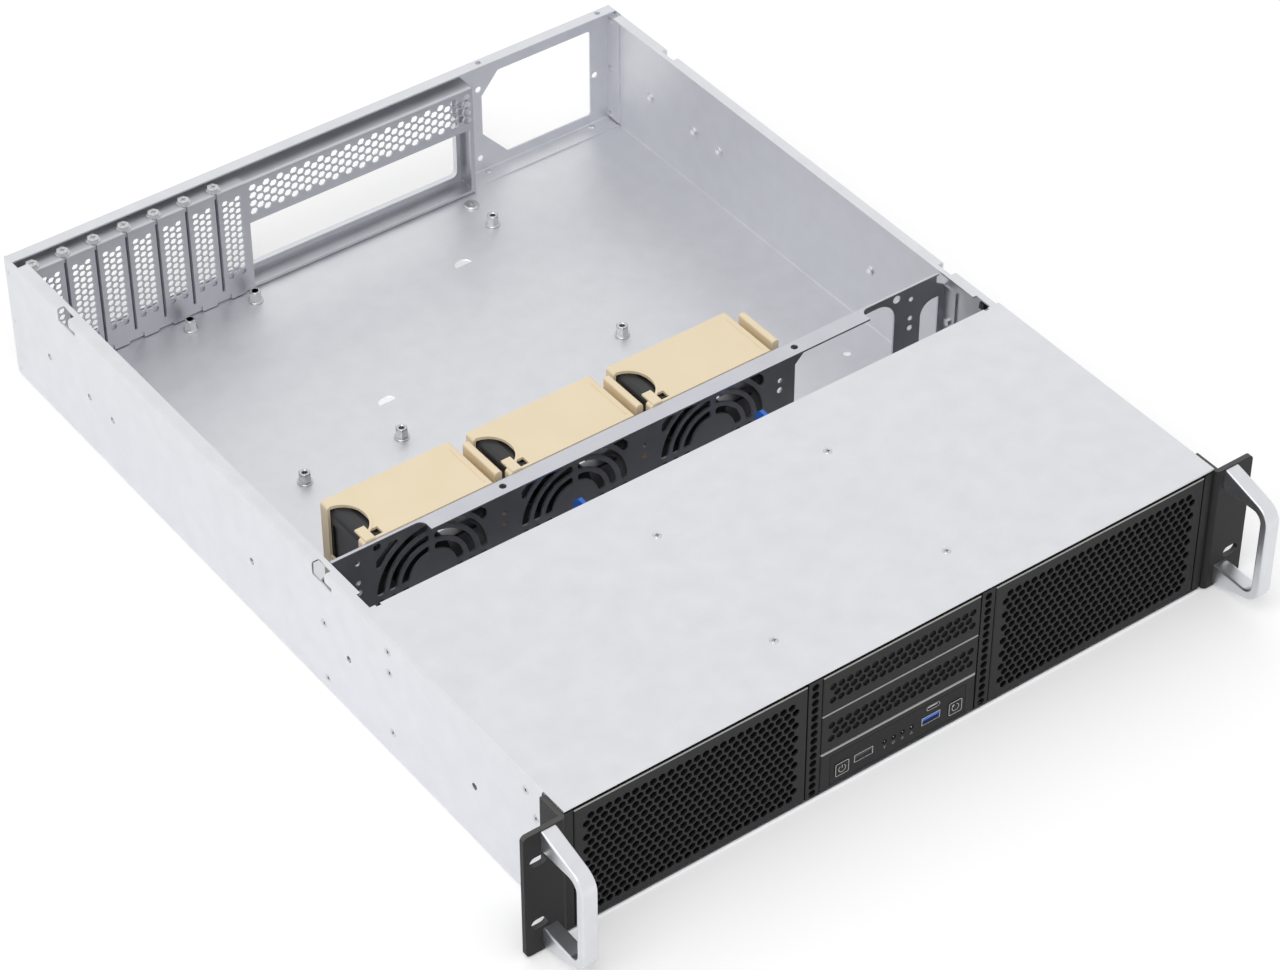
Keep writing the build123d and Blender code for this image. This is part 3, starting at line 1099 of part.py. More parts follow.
def rack_ear(side):
    """An L-shaped rack ear with two mounting slots."""
    outer = RACK_WIDTH / 2
    t = EAR_THICKNESS
    outline = [(outer, 0), (HALF_WIDTH, 0), (HALF_WIDTH, EAR_FLANGE_DEPTH)]
    line = FilletPolyline(*outline, radius=t)
    section = make_face(offset(line, amount=t, side=Side.RIGHT))
    ear = extrude(Plane.XY.offset(EAR_BOTTOM) * section, amount=EAR_HEIGHT)
    corners = ear.edges().filter_by(Axis.Y).group_by(Axis.X)[-1]
    ear = fillet(corners, EAR_CORNER)
    cuts = []
    for k in (-1, 1):
        slot_z = EAR_CENTRE_Z + k * SLOT_SPACING_Z / 2
        slot = Pos(SLOT_SPACING_X / 2, slot_z) * SlotOverall(SLOT_LENGTH, SLOT_WIDTH)
        cuts.append(plate_y(slot, -FIT, t + FIT))
        z = EAR_CENTRE_Z + k * HANDLE_SCREW_SPACING / 2
        cuts.append(rod_y(HANDLE_X, -FIT, t + FIT, z, HANDLE_SCREW_RADIUS + SCREW_FIT))
    ear = ear - cuts
    ear = ear - [place * ear_screw_hole() for place in ear_screw_places()]
    return ear if side > 0 else mirrored(ear)


def ear_screw_places():
    """Places of the screws that hold the ears to the side walls."""
    outside = HALF_WIDTH + EAR_THICKNESS
    return [Pos(side * outside, EAR_SCREW_Y, z) * Rot(0, side * 90, 0)
            for side in (-1, 1) for z in EAR_SCREW_HEIGHTS]


def ear_screw_hole():
    """The countersunk hole through an ear and its wall."""
    return flush_hole() + rod_z(0, 0, -EAR_THICKNESS - 3 * SHEET, 0, SCREW_RADIUS + SCREW_FIT)


def handle_profile():
    """The side view of a handle in Y and Z: a flattened D with sloping legs."""
    root = HANDLE_HEIGHT / 2
    front = root - HANDLE_SLOPE
    outer = make_face(Polyline((0, root), (-HANDLE_REACH, front), (-HANDLE_REACH, -front), (0, -root),
                               close=True))
    corners = outer.vertices().group_by(Axis.X)[0]
    outer = fillet(corners, HANDLE_OUTER_RADIUS)
    grip = -HANDLE_REACH + HANDLE_GRIP
    gap_root = root - HANDLE_LEG_ROOT
    gap_front = root - HANDLE_LEG_END
    inner = make_face(Polyline((FIT, gap_root), (grip, gap_front), (grip, -gap_front), (FIT, -gap_root),
                               close=True))
    corners = inner.vertices().group_by(Axis.X)[0]
    return outer - fillet(corners, HANDLE_INNER_RADIUS)


def handle(side):
    """A bent handle with softened edges and a tapped hole in each leg."""
    profile = Plane.YZ.offset(HANDLE_X - HANDLE_WIDTH / 2) * Pos(0, EAR_CENTRE_Z) * handle_profile()
    body = extrude(profile, amount=HANDLE_WIDTH)
    faces = body.faces().filter_by(Axis.X)
    edges = [edge for face in faces for edge in face.edges() if edge.center().Y < -FIT]
    body = fillet(edges, HANDLE_EDGE)
    for k in (-1, 1):
        z = EAR_CENTRE_Z + k * HANDLE_SCREW_SPACING / 2
        body = body - rod_y(HANDLE_X, -HANDLE_SCREW_LENGTH + EAR_THICKNESS - FIT, FIT, z,
                            HANDLE_SCREW_RADIUS + SCREW_FIT)
    return body if side > 0 else mirrored(body)


def handle_screws():
    """Four screws from behind the ears into the handles."""
    screws = []
    for side in (-1, 1):
        for k in (-1, 1):
            z = EAR_CENTRE_Z + k * HANDLE_SCREW_SPACING / 2
            x = side * HANDLE_X
            seat = EAR_THICKNESS
            head = rod_y(x, seat, seat + HANDLE_SCREW_HEAD_HEIGHT, z, HANDLE_SCREW_HEAD_RADIUS)
            shank = rod_y(x, seat - HANDLE_SCREW_LENGTH, seat + FIT, z, HANDLE_SCREW_RADIUS)
            screws.append(head + shank)
    return group(screws)


def drive_cage():
    """The folded cage behind the bay covers, with a shelf and windows in its sides."""
    half = CAGE_HALF_WIDTH
    outline = [(-half, CAGE_TOP), (-half, SHEET), (half, SHEET), (half, CAGE_TOP)]
    cage = folded(outline, SHEET, BEND, Plane.XZ.offset(-CAGE_FRONT), CAGE_FRONT - CAGE_REAR, Side.LEFT)
    inside = half - SHEET
    shelf = block(-inside, inside, CAGE_FRONT, CAGE_REAR, CAGE_SHELF_HEIGHT, CAGE_SHELF_HEIGHT + SHEET)
    middle = (CAGE_FRONT + CAGE_REAR) / 2 - CAGE_WINDOW_HEIGHT
    windows = Sketch()
    for z in (CAGE_SHELF_HEIGHT / 2 + SHEET, CAGE_SHELF_HEIGHT + CAGE_WINDOW_HEIGHT):
        windows += Pos(middle, z) * SlotOverall(CAGE_WINDOW_LENGTH, CAGE_WINDOW_HEIGHT)
    cut = extrude(Plane.YZ.offset(-half - FIT) * windows, amount=2 * half + 2 * FIT)
    stud_hole = rod_x(-half - FIT, half + FIT, LEVER_PIVOT_Y, LEVER_PIVOT_Z, STUD_NECK_RADIUS + SCREW_FIT)
    return cage - cut + shelf - stud_hole


def lever_studs():
    """Two headed studs, riveted in the cage, on which the levers tilt."""
    half = CAGE_HALF_WIDTH
    sleeve = half + LEVER_THICKNESS + 2 * LEVER_GAP
    stud = rod_x(half, sleeve, LEVER_PIVOT_Y, LEVER_PIVOT_Z, STUD_RADIUS)
    stud = stud + rod_x(sleeve, sleeve + STUD_HEAD_HEIGHT, LEVER_PIVOT_Y, LEVER_PIVOT_Z, STUD_HEAD_RADIUS)
    neck_end = half - SHEET - RIVET_HEAD_HEIGHT
    stud = stud + rod_x(neck_end, half, LEVER_PIVOT_Y, LEVER_PIVOT_Z, STUD_NECK_RADIUS)
    return group([stud, mirrored(stud)])


def cage_lever(side):
    """A flat blue release lever whose rear end shows behind the front cover."""
    x0 = CAGE_HALF_WIDTH + LEVER_GAP
    y, z = LEVER_PIVOT_Y, LEVER_PIVOT_Z
    tip = LEVER_TIP_TOP - LEVER_TIP_HEIGHT
    outline = make_face(Polyline((y, z + LEVER_EYE_WAIST), (LEVER_REAR - LEVER_CORNER, LEVER_TIP_TOP),
                                 (LEVER_REAR, LEVER_TIP_TOP - LEVER_CORNER), (LEVER_REAR, tip),
                                 (y, z - LEVER_EYE_WAIST), close=True))
    outline += Pos(y, z) * Circle(LEVER_EYE_RADIUS)
    outline -= Pos(y, z) * Circle(STUD_RADIUS + STUD_CLEARANCE)
    lever = extrude(Plane.YZ.offset(x0) * outline, amount=LEVER_THICKNESS)
    return lever if side > 0 else mirrored(lever)


def board_place(offset):
    """X and Y of a board hole, from its offset to the board's left posts and to the rear."""
    return BOARD_X + offset[0], REAR_Y - offset[1]


def floor_standoffs():
    """Six hexagonal standoffs with a round flange, tapped for the main board."""
    seat = SHEET
    posts = []
    for x, y in map(board_place, STANDOFF_OFFSETS):
        flange = rod_z(x, y, seat, seat + STANDOFF_FLANGE_HEIGHT, STANDOFF_FLANGE_RADIUS)
        post = Pos(x, y, seat) * extrude(RegularPolygon(STANDOFF_FLATS / 2, 6, major_radius=False),
                                         amount=STANDOFF_HEIGHT)
        bore = rod_z(x, y, seat + STANDOFF_HEIGHT - STANDOFF_BORE_DEPTH, seat + STANDOFF_HEIGHT + FIT,
                     STANDOFF_BORE)
        posts.append(flange + post - bore)
    return group(posts)


def low_nut():
    """The low round nut at the rear right board hole."""
    x, y = board_place(LOW_NUT_OFFSET)
    nut = rod_z(x, y, SHEET, SHEET + LOW_NUT_HEIGHT, LOW_NUT_RADIUS)
    nut = chamfer(nut.edges().filter_by(GeomType.CIRCLE).sort_by(Axis.Z)[-1], LOW_NUT_EDGE)
    return nut - rod_z(x, y, SHEET - FIT, SHEET + LOW_NUT_HEIGHT + FIT, STANDOFF_BORE)


def lid_clip(side):
    """A small dark clip under the wall's lip, just behind the front cover."""
    x1 = -WALL_INSIDE + BEND - SHEET
    clip = block(x1, -WALL_INSIDE + WALL_LIP + SHEET, CLIP_Y - CLIP_LENGTH / 2, CLIP_Y + CLIP_LENGTH / 2,
                 LID_SEAT - SHEET - CLIP_HEIGHT, LID_SEAT - SHEET)
    clip = chamfer(clip.edges().filter_by(Axis.X).group_by(Axis.Z)[0], CLIP_CHAMFER)
    return clip if side < 0 else mirrored(clip)


def write(name, shape):
    """Moves a finished sub-part into the object's frame and writes it."""
    export_step(Pos(0, CASE_SHIFT, 0) * shape, f"parts/{name}.step")


os.makedirs("parts", exist_ok=True)
write("base_tray", base_tray())
write("front_cover", front_cover())
write("rear_panel", rear_panel())
write("slot_io_bracket", slot_io_bracket())
for slot in range(SLOT_COUNT):
    write(f"slot_cover_{slot + 1}", slot_cover(slot))
write("slot_screws", slot_screws())
write("fan_wall", fan_wall())
for fan in range(FAN_COUNT):
    write(f"fan_holder_{fan + 1}", fan_holder(fan))
    write(f"fan_frame_{fan + 1}", fan_frame(fan))
    write(f"fan_rotor_{fan + 1}", fan_rotor(fan))
write("front_frame", front_frame())
write("upper_bay_cover", bay_cover(2))
write("middle_bay_cover", bay_cover(1))
write("control_panel", control_panel())
write("control_bezel", control_bezel())
write("power_button", push_button(POWER_X, POWER_Z))
write("reset_button", push_button(RESET_X, RESET_Z))
write("left_data_port", flat_port(LEFT_PORT_X))
write("right_data_port", flat_port(RIGHT_PORT_X))
write("oval_data_port", oval_port())
write("indicator_lights", indicator_lights())
write("control_board", control_board())
write("drive_cage", drive_cage())
write("lever_studs", lever_studs())
for name, hand in (("left", -1), ("right", 1)):
    write(f"{name}_mesh_panel", mesh_panel(hand))
    write(f"{name}_ear", rack_ear(hand))
    write(f"{name}_handle", handle(hand))
    write(f"{name}_cage_lever", cage_lever(hand))
    write(f"{name}_lid_clip", lid_clip(hand))
write("handle_screws", handle_screws())
write("ear_screws", group(place * flush_screw() for place in ear_screw_places()))
write("cover_screws", group(place * flush_screw() for place in top_screw_places() + skirt_screw_places()))
write("wall_screws", group(place * flush_screw() for place in wall_screw_places()))
write("rear_rivets", group(place * rivet(2 * SHEET) for place in rear_rivet_places() + floor_rivet_places()))
write("floor_standoffs", floor_standoffs())
write("low_nut", low_nut())
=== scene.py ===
import json
import math

import bmesh
import bpy
from mathutils import Matrix, Vector


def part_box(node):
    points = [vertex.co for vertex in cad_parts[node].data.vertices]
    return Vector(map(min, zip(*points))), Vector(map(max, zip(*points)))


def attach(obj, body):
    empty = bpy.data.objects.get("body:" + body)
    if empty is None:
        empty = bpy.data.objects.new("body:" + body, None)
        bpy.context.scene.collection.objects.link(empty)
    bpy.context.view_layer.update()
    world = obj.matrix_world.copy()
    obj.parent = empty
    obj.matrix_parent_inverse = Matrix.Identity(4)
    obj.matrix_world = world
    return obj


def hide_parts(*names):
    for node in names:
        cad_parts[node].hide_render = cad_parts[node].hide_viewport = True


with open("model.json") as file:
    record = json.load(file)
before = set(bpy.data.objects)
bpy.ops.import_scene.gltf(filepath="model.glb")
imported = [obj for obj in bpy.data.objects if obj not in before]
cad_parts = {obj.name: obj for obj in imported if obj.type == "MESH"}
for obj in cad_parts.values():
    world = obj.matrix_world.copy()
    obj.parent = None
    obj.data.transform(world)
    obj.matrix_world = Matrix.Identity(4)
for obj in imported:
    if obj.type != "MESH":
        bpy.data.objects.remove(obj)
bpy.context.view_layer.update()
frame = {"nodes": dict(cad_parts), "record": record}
print("frame loaded:", len(frame["nodes"]), "nodes")

# Every size below is in millimetres, with Y measured from the rack face of the ears
mm = 0.001
weld = 0.001
seamWeld = 0.02
sheetBump = 0.1
plasticBump = 0.05

# In metres: where the rack face lies, and how near two places are that count as the same
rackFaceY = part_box("left_ear")[0].y
nearby = 1e-6

# Angles between two faces, above which their edge is a fold or a square corner
foldAngle = math.radians(50)
sharpAngle = math.radians(60)

# How strongly a painted highlight lightens the top edges of the fronts and the cover
topHighlight = 0.9


def place(x, y, z):
    return Vector((x * mm, rackFaceY + y * mm, z * mm))


def toLinear(hexText):
    values = [int(hexText[k:k + 2], 16) / 255 for k in (1, 3, 5)]
    return [v / 12.92 if v <= 0.04045 else ((v + 0.055) / 1.055) ** 2.4 for v in values] + [1.0]


# A setting or link goes to the input of that number or name, and a setting without such an input to the node
def addNode(tree, kind, settings=None, links=None):
    node = tree.nodes.new(kind)

    def socket(sockets, key):
        if isinstance(key, int):
            return sockets[key]
        return next((s for s in sockets if s.name == key and s.enabled), None)

    for key, value in (settings or {}).items():
        target = socket(node.inputs, key)
        if target is None:
            setattr(node, key, value)
        else:
            target.default_value = value
    for key, (source, output) in (links or {}).items():
        tree.links.new(socket(source.outputs, output), socket(node.inputs, key))
    return node


def newMaterial(name):
    material = bpy.data.materials.new(name)
    material.use_nodes = True
    tree = material.node_tree
    tree.nodes.clear()
    return material, tree


def finishTree(tree, surface):
    addNode(tree, "ShaderNodeOutputMaterial", links={"Surface": (surface, "BSDF")})


# Satin zinc-coated sheet: pale grey metal, faint cloudy mottling, soft reflections, folds lightened towards
# white as a painted highlight
def zincSheet(name, look):
    material, tree = newMaterial(name)
    where = addNode(tree, "ShaderNodeTexCoord")
    cloud = addNode(tree, "ShaderNodeTexNoise", {"Scale": 1 / (look["cloud"] * mm), "Detail": 3.0},
                    {"Vector": (where, "Object")})
    grain = addNode(tree, "ShaderNodeTexNoise", {"Scale": 1 / (look["grain"] * mm), "Detail": 2.0},
                    {"Vector": (where, "Object")})
    tone = addNode(tree, "ShaderNodeMath", {"operation": "MULTIPLY_ADD", 1: look["grainShare"]},
                   {0: (grain, "Fac"), 2: (cloud, "Fac")})
    sheet = addNode(tree, "ShaderNodeMix", {"data_type": "RGBA", "A": toLinear(look["dark"]),
                                            "B": toLinear(look["light"])}, {"Factor": (tone, 0)})
    # Painted highlight: the chosen edge faces are mixed towards near white
    highlighted = addNode(tree, "ShaderNodeAttribute", {"attribute_name": "paintedEdgeHighlight"})
    color = addNode(tree, "ShaderNodeMix", {"data_type": "RGBA", "B": toLinear("#fbfbfd")},
                    {"Factor": (highlighted, "Fac"), "A": (sheet, "Result")})
    smooth, dull = look["roughness"]
    rough = addNode(tree, "ShaderNodeMapRange", {"To Min": smooth, "To Max": dull}, {"Value": (cloud, "Fac")})
    bump = addNode(tree, "ShaderNodeBump", {"Strength": look["bump"], "Distance": sheetBump * mm},
                   {"Height": (grain, "Fac")})
    shader = addNode(tree, "ShaderNodeBsdfPrincipled", {"Metallic": 1.0},
                     {"Base Color": (color, "Result"), "Roughness": (rough, "Result"),
                      "Normal": (bump, "Normal")})
    finishTree(tree, shader)
    return material


# Powder-coated steel: near black, dry, a fine pimpled skin that breaks up the sheen, lightened at chosen edges
# as a painted highlight
def powderCoat(name, look):
    material, tree = newMaterial(name)
    where = addNode(tree, "ShaderNodeTexCoord")
    grain = addNode(tree, "ShaderNodeTexNoise", {"Scale": 1 / (look["grain"] * mm), "Detail": 2.0},
                    {"Vector": (where, "Object")})
    coat = addNode(tree, "ShaderNodeMix", {"data_type": "RGBA", "A": toLinear(look["dark"]),
                                           "B": toLinear(look["light"])}, {"Factor": (grain, "Fac")})
    # Painted highlight: the chosen edge faces are mixed towards the highlight tone
    highlighted = addNode(tree, "ShaderNodeAttribute", {"attribute_name": "paintedEdgeHighlight"})
    color = addNode(tree, "ShaderNodeMix", {"data_type": "RGBA", "B": toLinear(look["highlightTone"])},
                    {"Factor": (highlighted, "Fac"), "A": (coat, "Result")})
    bump = addNode(tree, "ShaderNodeBump", {"Strength": look["bump"], "Distance": sheetBump * mm},
                   {"Height": (grain, "Fac")})
    shader = addNode(tree, "ShaderNodeBsdfPrincipled", {"Roughness": look["roughness"], "IOR": 1.5,
                                                        "Specular IOR Level": look["gloss"]},
                     {"Base Color": (color, "Result"), "Normal": (bump, "Normal")})
    finishTree(tree, shader)
    return material


# Moulded plastic: even colour with slow cloudy variation and a fine spark-eroded texture
def mouldedPlastic(name, look):
    material, tree = newMaterial(name)
    where = addNode(tree, "ShaderNodeTexCoord")
    cloud = addNode(tree, "ShaderNodeTexNoise", {"Scale": 1 / (look["cloud"] * mm), "Detail": 2.0},
                    {"Vector": (where, "Object")})
    grain = addNode(tree, "ShaderNodeTexNoise", {"Scale": 1 / (look["grain"] * mm), "Detail": 1.0},
                    {"Vector": (where, "Object")})
    color = addNode(tree, "ShaderNodeMix", {"data_type": "RGBA", "A": toLinear(look["dark"]),
                                            "B": toLinear(look["light"])}, {"Factor": (cloud, "Fac")})
    bump = addNode(tree, "ShaderNodeBump", {"Strength": look["bump"], "Distance": plasticBump * mm},
                   {"Height": (grain, "Fac")})
    shader = addNode(tree, "ShaderNodeBsdfPrincipled", {"Roughness": look["roughness"], "IOR": look["ior"]},
                     {"Base Color": (color, "Result"), "Normal": (bump, "Normal")})
    finishTree(tree, shader)
    return material


finishes = {
    "zinc": zincSheet("satinZincSheet", {"light": "#e2e3e7", "dark": "#d6d7db", "cloud": 14, "grain": 1.2,
                                         "grainShare": 0.35, "roughness": (0.42, 0.5), "bump": 0.06}),
    "screw": zincSheet("platedScrewSteel", {"light": "#d8d8da", "dark": "#b9b9bd", "cloud": 2, "grain": 0.5,
                                            "grainShare": 0.3, "roughness": (0.26, 0.36), "bump": 0.05}),
    "handle": zincSheet("satinAnodisedAluminium", {"light": "#dedfe3", "dark": "#d2d3d7", "cloud": 10,
                                                   "grain": 0.6, "grainShare": 0.3, "roughness": (0.3, 0.36),
                                                   "bump": 0.04}),
    "shell": zincSheet("nickelPortShell", {"light": "#c4c4c6", "dark": "#a8a8ac", "cloud": 3, "grain": 0.5,
                                           "grainShare": 0.3, "roughness": (0.25, 0.32), "bump": 0.03}),
    "black": powderCoat("blackPowderCoat", {"light": "#262627", "dark": "#1e1e1f", "highlightTone": "#b4b4b0",
                                            "grain": 0.7, "bump": 0.2, "roughness": 0.5, "gloss": 0.22}),
    # Painted shade: dark sheets put behind the pierced fronts where there is only shade
    "shadeBlack": powderCoat("paintedShadeBlack", {"light": "#0e0e0e", "dark": "#060606", "highlightTone": "#0e0e0e",
                                           "grain": 1.4, "bump": 0.9, "roughness": 0.9, "gloss": 0.1}),
    "shadeGrey": powderCoat("paintedShadeGrey", {"light": "#343436", "dark": "#2b2b2d", "highlightTone": "#343436",
                                            "grain": 0.6, "bump": 0.4, "roughness": 0.85, "gloss": 0.1}),
    # A darker copy of the zinc sheet, as painted shade on the slot covers and bracket
    "shadedZinc": zincSheet("zincSheetPaintedShade", {"light": "#c9cacf", "dark": "#bdbec3", "cloud": 14,
                                              "grain": 1.2, "grainShare": 0.35, "roughness": (0.42, 0.5),
                                              "bump": 0.06}),
    # A darker copy of the zinc sheet, as painted shade on the fan wall
    "bulkhead": zincSheet("zincSheetPaintedShadeBulkhead", {"light": "#cfd0d6", "dark": "#c3c4cb", "cloud": 16, "grain": 1.2,
                                            "grainShare": 0.35, "roughness": (0.4, 0.48), "bump": 0.05}),
    "cream": mouldedPlastic("creamMouldedPlastic", {"light": "#e9d9bb", "dark": "#e3d2b2", "cloud": 20,
                                                    "grain": 0.8, "bump": 0.08, "roughness": 0.42,
                                                    "ior": 1.5}),
    "fan": mouldedPlastic("blackFanPlastic", {"light": "#26272a", "dark": "#1d1e20", "cloud": 12,
                                              "grain": 0.8, "bump": 0.08, "roughness": 0.36, "ior": 1.52}),
    "bezel": mouldedPlastic("blackBezelPlastic", {"light": "#212122", "dark": "#1b1b1c", "cloud": 12,
                                                  "grain": 0.5, "bump": 0.06, "roughness": 0.5, "ior": 1.3}),
    # A darker copy of the blue plastic, as painted shade inside the port
    "shadedBlue": mouldedPlastic("bluePlasticPaintedShade", {"light": "#1c2368", "dark": "#161c55", "cloud": 4,
                                                 "grain": 0.5, "bump": 0.04, "roughness": 0.4, "ior": 1.4}),
    "blue": mouldedPlastic("blueMouldedPlastic", {"light": "#2f7be6", "dark": "#2868cf", "cloud": 10,
                                                  "grain": 0.6, "bump": 0.06, "roughness": 0.38, "ior": 1.5}),
    # Pale ink for printed marks, also used as a painted glint on the lamp domes
    "inkAndGlint": mouldedPlastic("paleInkAndPaintedGlint", {"light": "#bdbdbb", "dark": "#adadab", "cloud": 3, "grain": 0.4,
                                           "bump": 0.03, "roughness": 0.5, "ior": 1.5}),
    "dimMark": mouldedPlastic("dimMarkInk", {"light": "#828280", "dark": "#747472", "cloud": 3, "grain": 0.4,
                                             "bump": 0.03, "roughness": 0.5, "ior": 1.45}),
    "lens": mouldedPlastic("smokedLightGuide", {"light": "#3a3b38", "dark": "#2c2d2b", "cloud": 2,
                                                "grain": 0.4, "bump": 0.02, "roughness": 0.12, "ior": 1.49}),
    "board": mouldedPlastic("greenBoardLacquer", {"light": "#1f5a38", "dark": "#194c2f", "cloud": 6,
                                                  "grain": 0.6, "bump": 0.06, "roughness": 0.35, "ior": 1.5}),
}
slotFinishes = {
    "zinc_sheet": "zinc", "bulkhead_sheet": "bulkhead", "screw_steel": "screw", "black_paint": "black",
    "handle_metal": "handle", "cream_plastic": "cream", "fan_plastic": "fan", "bezel_plastic": "bezel",
    "button_plastic": "bezel", "port_metal": "shell", "blue_port": "blue", "blue_plastic": "blue",
    "light_lens": "lens", "circuit_board": "board",
}
slotOf = {part["node"]: part["material_slot"] for part in frame["record"]["subparts"]}
for name, slot in slotOf.items():
    sheet = frame["nodes"][name].data
    sheet.materials.clear()
    sheet.materials.append(finishes[slotFinishes[slot]])
print("finishes made:", len(finishes))


def pick(items, kind):
    return [item for item in items if isinstance(item, kind)]


def translate(bm, items, way):
    bmesh.ops.translate(bm, verts=pick(items, bmesh.types.BMVert), vec=Vector(way) * mm)


def extrude(bm, faces, way):
    translate(bm, bmesh.ops.extrude_face_region(bm, geom=faces, use_keep_orig=True)["geom"], way)


def extrudeEdges(bm, edges, way):
    grown = bmesh.ops.extrude_edge_only(bm, edges=edges)["geom"]
    translate(bm, grown, way)
    return pick(grown, bmesh.types.BMEdge)


def bevelEdges(bm, edges, width, steps=2):
    return bmesh.ops.bevel(bm, geom=edges, offset=width * mm, segments=steps, affect="EDGES", profile=0.5,
                           material=-1)["faces"]


def fill(bm, edges, normal=(0, -1, 0)):
    filled = bmesh.ops.triangle_fill(bm, use_beauty=True, edges=edges, normal=normal)["geom"]
    return pick(filled, bmesh.types.BMFace)


def outlineLoop(bm, points, y):
    corners = [bm.verts.new(place(x, y, z)) for x, z in points]
    return [bm.edges.new((corners[k - 1], corners[k])) for k in range(len(corners))]


def rectangle(x0, x1, z0, z1):
    return [(x0, z0), (x1, z0), (x1, z1), (x0, z1)]


def hexHoles(bm, centres, acrossFlats, flatTop, y):
    upright = Matrix.Rotation(math.pi / 2, 4, "X")
    turn = upright @ Matrix.Rotation(math.pi / 6 if flatTop else 0, 4, "Z")
    radius = acrossFlats / math.sqrt(3) * mm
    edges = []
    for x, z in centres:
        ring = bmesh.ops.create_circle(bm, segments=6, radius=radius,
                                       matrix=Matrix.Translation(place(x, y, z)) @ turn)
        edges += {edge for vert in ring["verts"] for edge in vert.link_edges}
    return edges


def finishPiece(name, bm, node, body="chassis", slot=None, finish=None, smooth=30):
    bmesh.ops.remove_doubles(bm, verts=bm.verts, dist=weld * mm)
    bmesh.ops.recalc_face_normals(bm, faces=bm.faces)
    mesh = bpy.data.meshes.new(name)
    bm.to_mesh(mesh)
    bm.free()
    mesh.shade_smooth()
    mesh.set_sharp_from_angle(angle=math.radians(smooth))
    slot = slot or slotOf[node]
    mesh.materials.append(finishes[finish or slotFinishes[slot]])
    piece = bpy.data.objects.new(name, mesh)
    bpy.context.scene.collection.objects.link(piece)
    piece.modifiers.new("flatNormals", "WEIGHTED_NORMAL").keep_sharp = True
    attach(piece, body)
    if node:
        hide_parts(node)


def nodeBox(node):
    low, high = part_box(node)
    return (low.x / mm, high.x / mm, (low.y - rackFaceY) / mm, (high.y - rackFaceY) / mm, low.z / mm,
            high.z / mm)


# Paints the share of painted highlight on the chosen faces, and zero on all others
def paintHighlightFaces(bm, faces, share):
    layers = bm.loops.layers.float_color
    highlightLayer = layers.get("paintedEdgeHighlight") or layers.new("paintedEdgeHighlight")
    chosen = set(faces)
    for face in bm.faces:
        shade = share if face in chosen else 0.0
        for loop in face.loops:
            loop[highlightLayer] = (shade, shade, shade, 1)


# A front sheet with short returns and a softened front edge, pierced inside its rim
def perforatedTray(name, node, tray, loops):
    x0, x1, front, back, z0, z1 = nodeBox(node)
    bm = bmesh.new()
    rim = tray["sheet"]
    outer = outlineLoop(bm, rectangle(x0, x1, z0, z1), front)
    inner = outlineLoop(bm, rectangle(x0 + rim, x1 - rim, z0 + rim, z1 - rim), front)
    band = bmesh.ops.bridge_loops(bm, edges=outer + inner)["faces"]
    extrude(bm, band + fill(bm, inner + loops(bm, front)), (0, tray["sheet"], 0))

    def rimGap(vert):
        return min(vert.co.x / mm - x0, x1 - vert.co.x / mm, vert.co.z / mm - z0, z1 - vert.co.z / mm)

    backY = rackFaceY + (front + tray["sheet"]) * mm
    returns = [face for face in bm.faces if len(face.verts) == 4
               and abs(face.calc_center_median().y - backY) < nearby
               and all(rimGap(vert) < rim + weld for vert in face.verts)]
    extrude(bm, returns, (0, back - front - tray["sheet"], 0))
    bmesh.ops.delete(bm, geom=returns, context="FACES")
    frontY = rackFaceY + front * mm
    edges = [edge for edge in bm.edges
             if all(abs(vert.co.y - frontY) < nearby and rimGap(vert) < weld for vert in edge.verts)]
    rounded = bevelEdges(bm, edges, tray["edge"])
    # Painted highlight on the top part of the softened front edge
    low = (z1 - tray["edge"]) * mm - nearby
    paintHighlightFaces(bm, [face for face in rounded if all(vert.co.z >= low for vert in face.verts)], topHighlight)
    finishPiece(name, bm, node)


# Centres of staggered rows, counted down from the top row, with one hole less in each second or first row
def staggered(middle, top, panel):
    centres = []
    for row in range(panel["rows"]):
        across = panel["count"] - (row + panel["shortFirst"]) % 2
        for k in range(across):
            centres.append((middle + (k - (across - 1) / 2) * panel["pitch"], top - row * panel["rise"]))
    return centres


meshPanel = {"sheet": 1.2, "edge": 0.55, "top": 8.75, "count": 25, "pitch": 5.47,
             "rows": 15, "rise": 4.74, "hole": 4.25, "shortFirst": 1, "shift": 0.0}
bayCover = dict(meshPanel, top=9.0, count=18, rows=3, shortFirst=0, shift=0.75)


def piercedFront(name, node, panel):
    x0, x1, front, back, z0, z1 = nodeBox(node)
    centres = staggered((x0 + x1) / 2 + panel["shift"], z1 - panel["top"], panel)
    perforatedTray(name, node, panel, lambda bm, y: hexHoles(bm, centres, panel["hole"], False, y))


for side in ("left", "right"):
    piercedFront(f"{side}MeshPanel", f"{side}_mesh_panel", meshPanel)
print("mesh panels pierced")

for level in ("upper", "middle"):
    piercedFront(f"{level}BayCover", f"{level}_bay_cover", bayCover)
print("bay covers pierced")

slotCover = {"sheet": 1.0, "bend": 1.6, "bendSteps": 4, "width": 18.4, "tongue": 10.2, "tongueBottom": 1.6,
             "shoulderLow": 5.0, "shoulderHigh": 9.0, "columns": (-4.3, 0, 4.3), "pitch": 4.5, "top": 72.4,
             "rows": 13, "hole": 3.7}


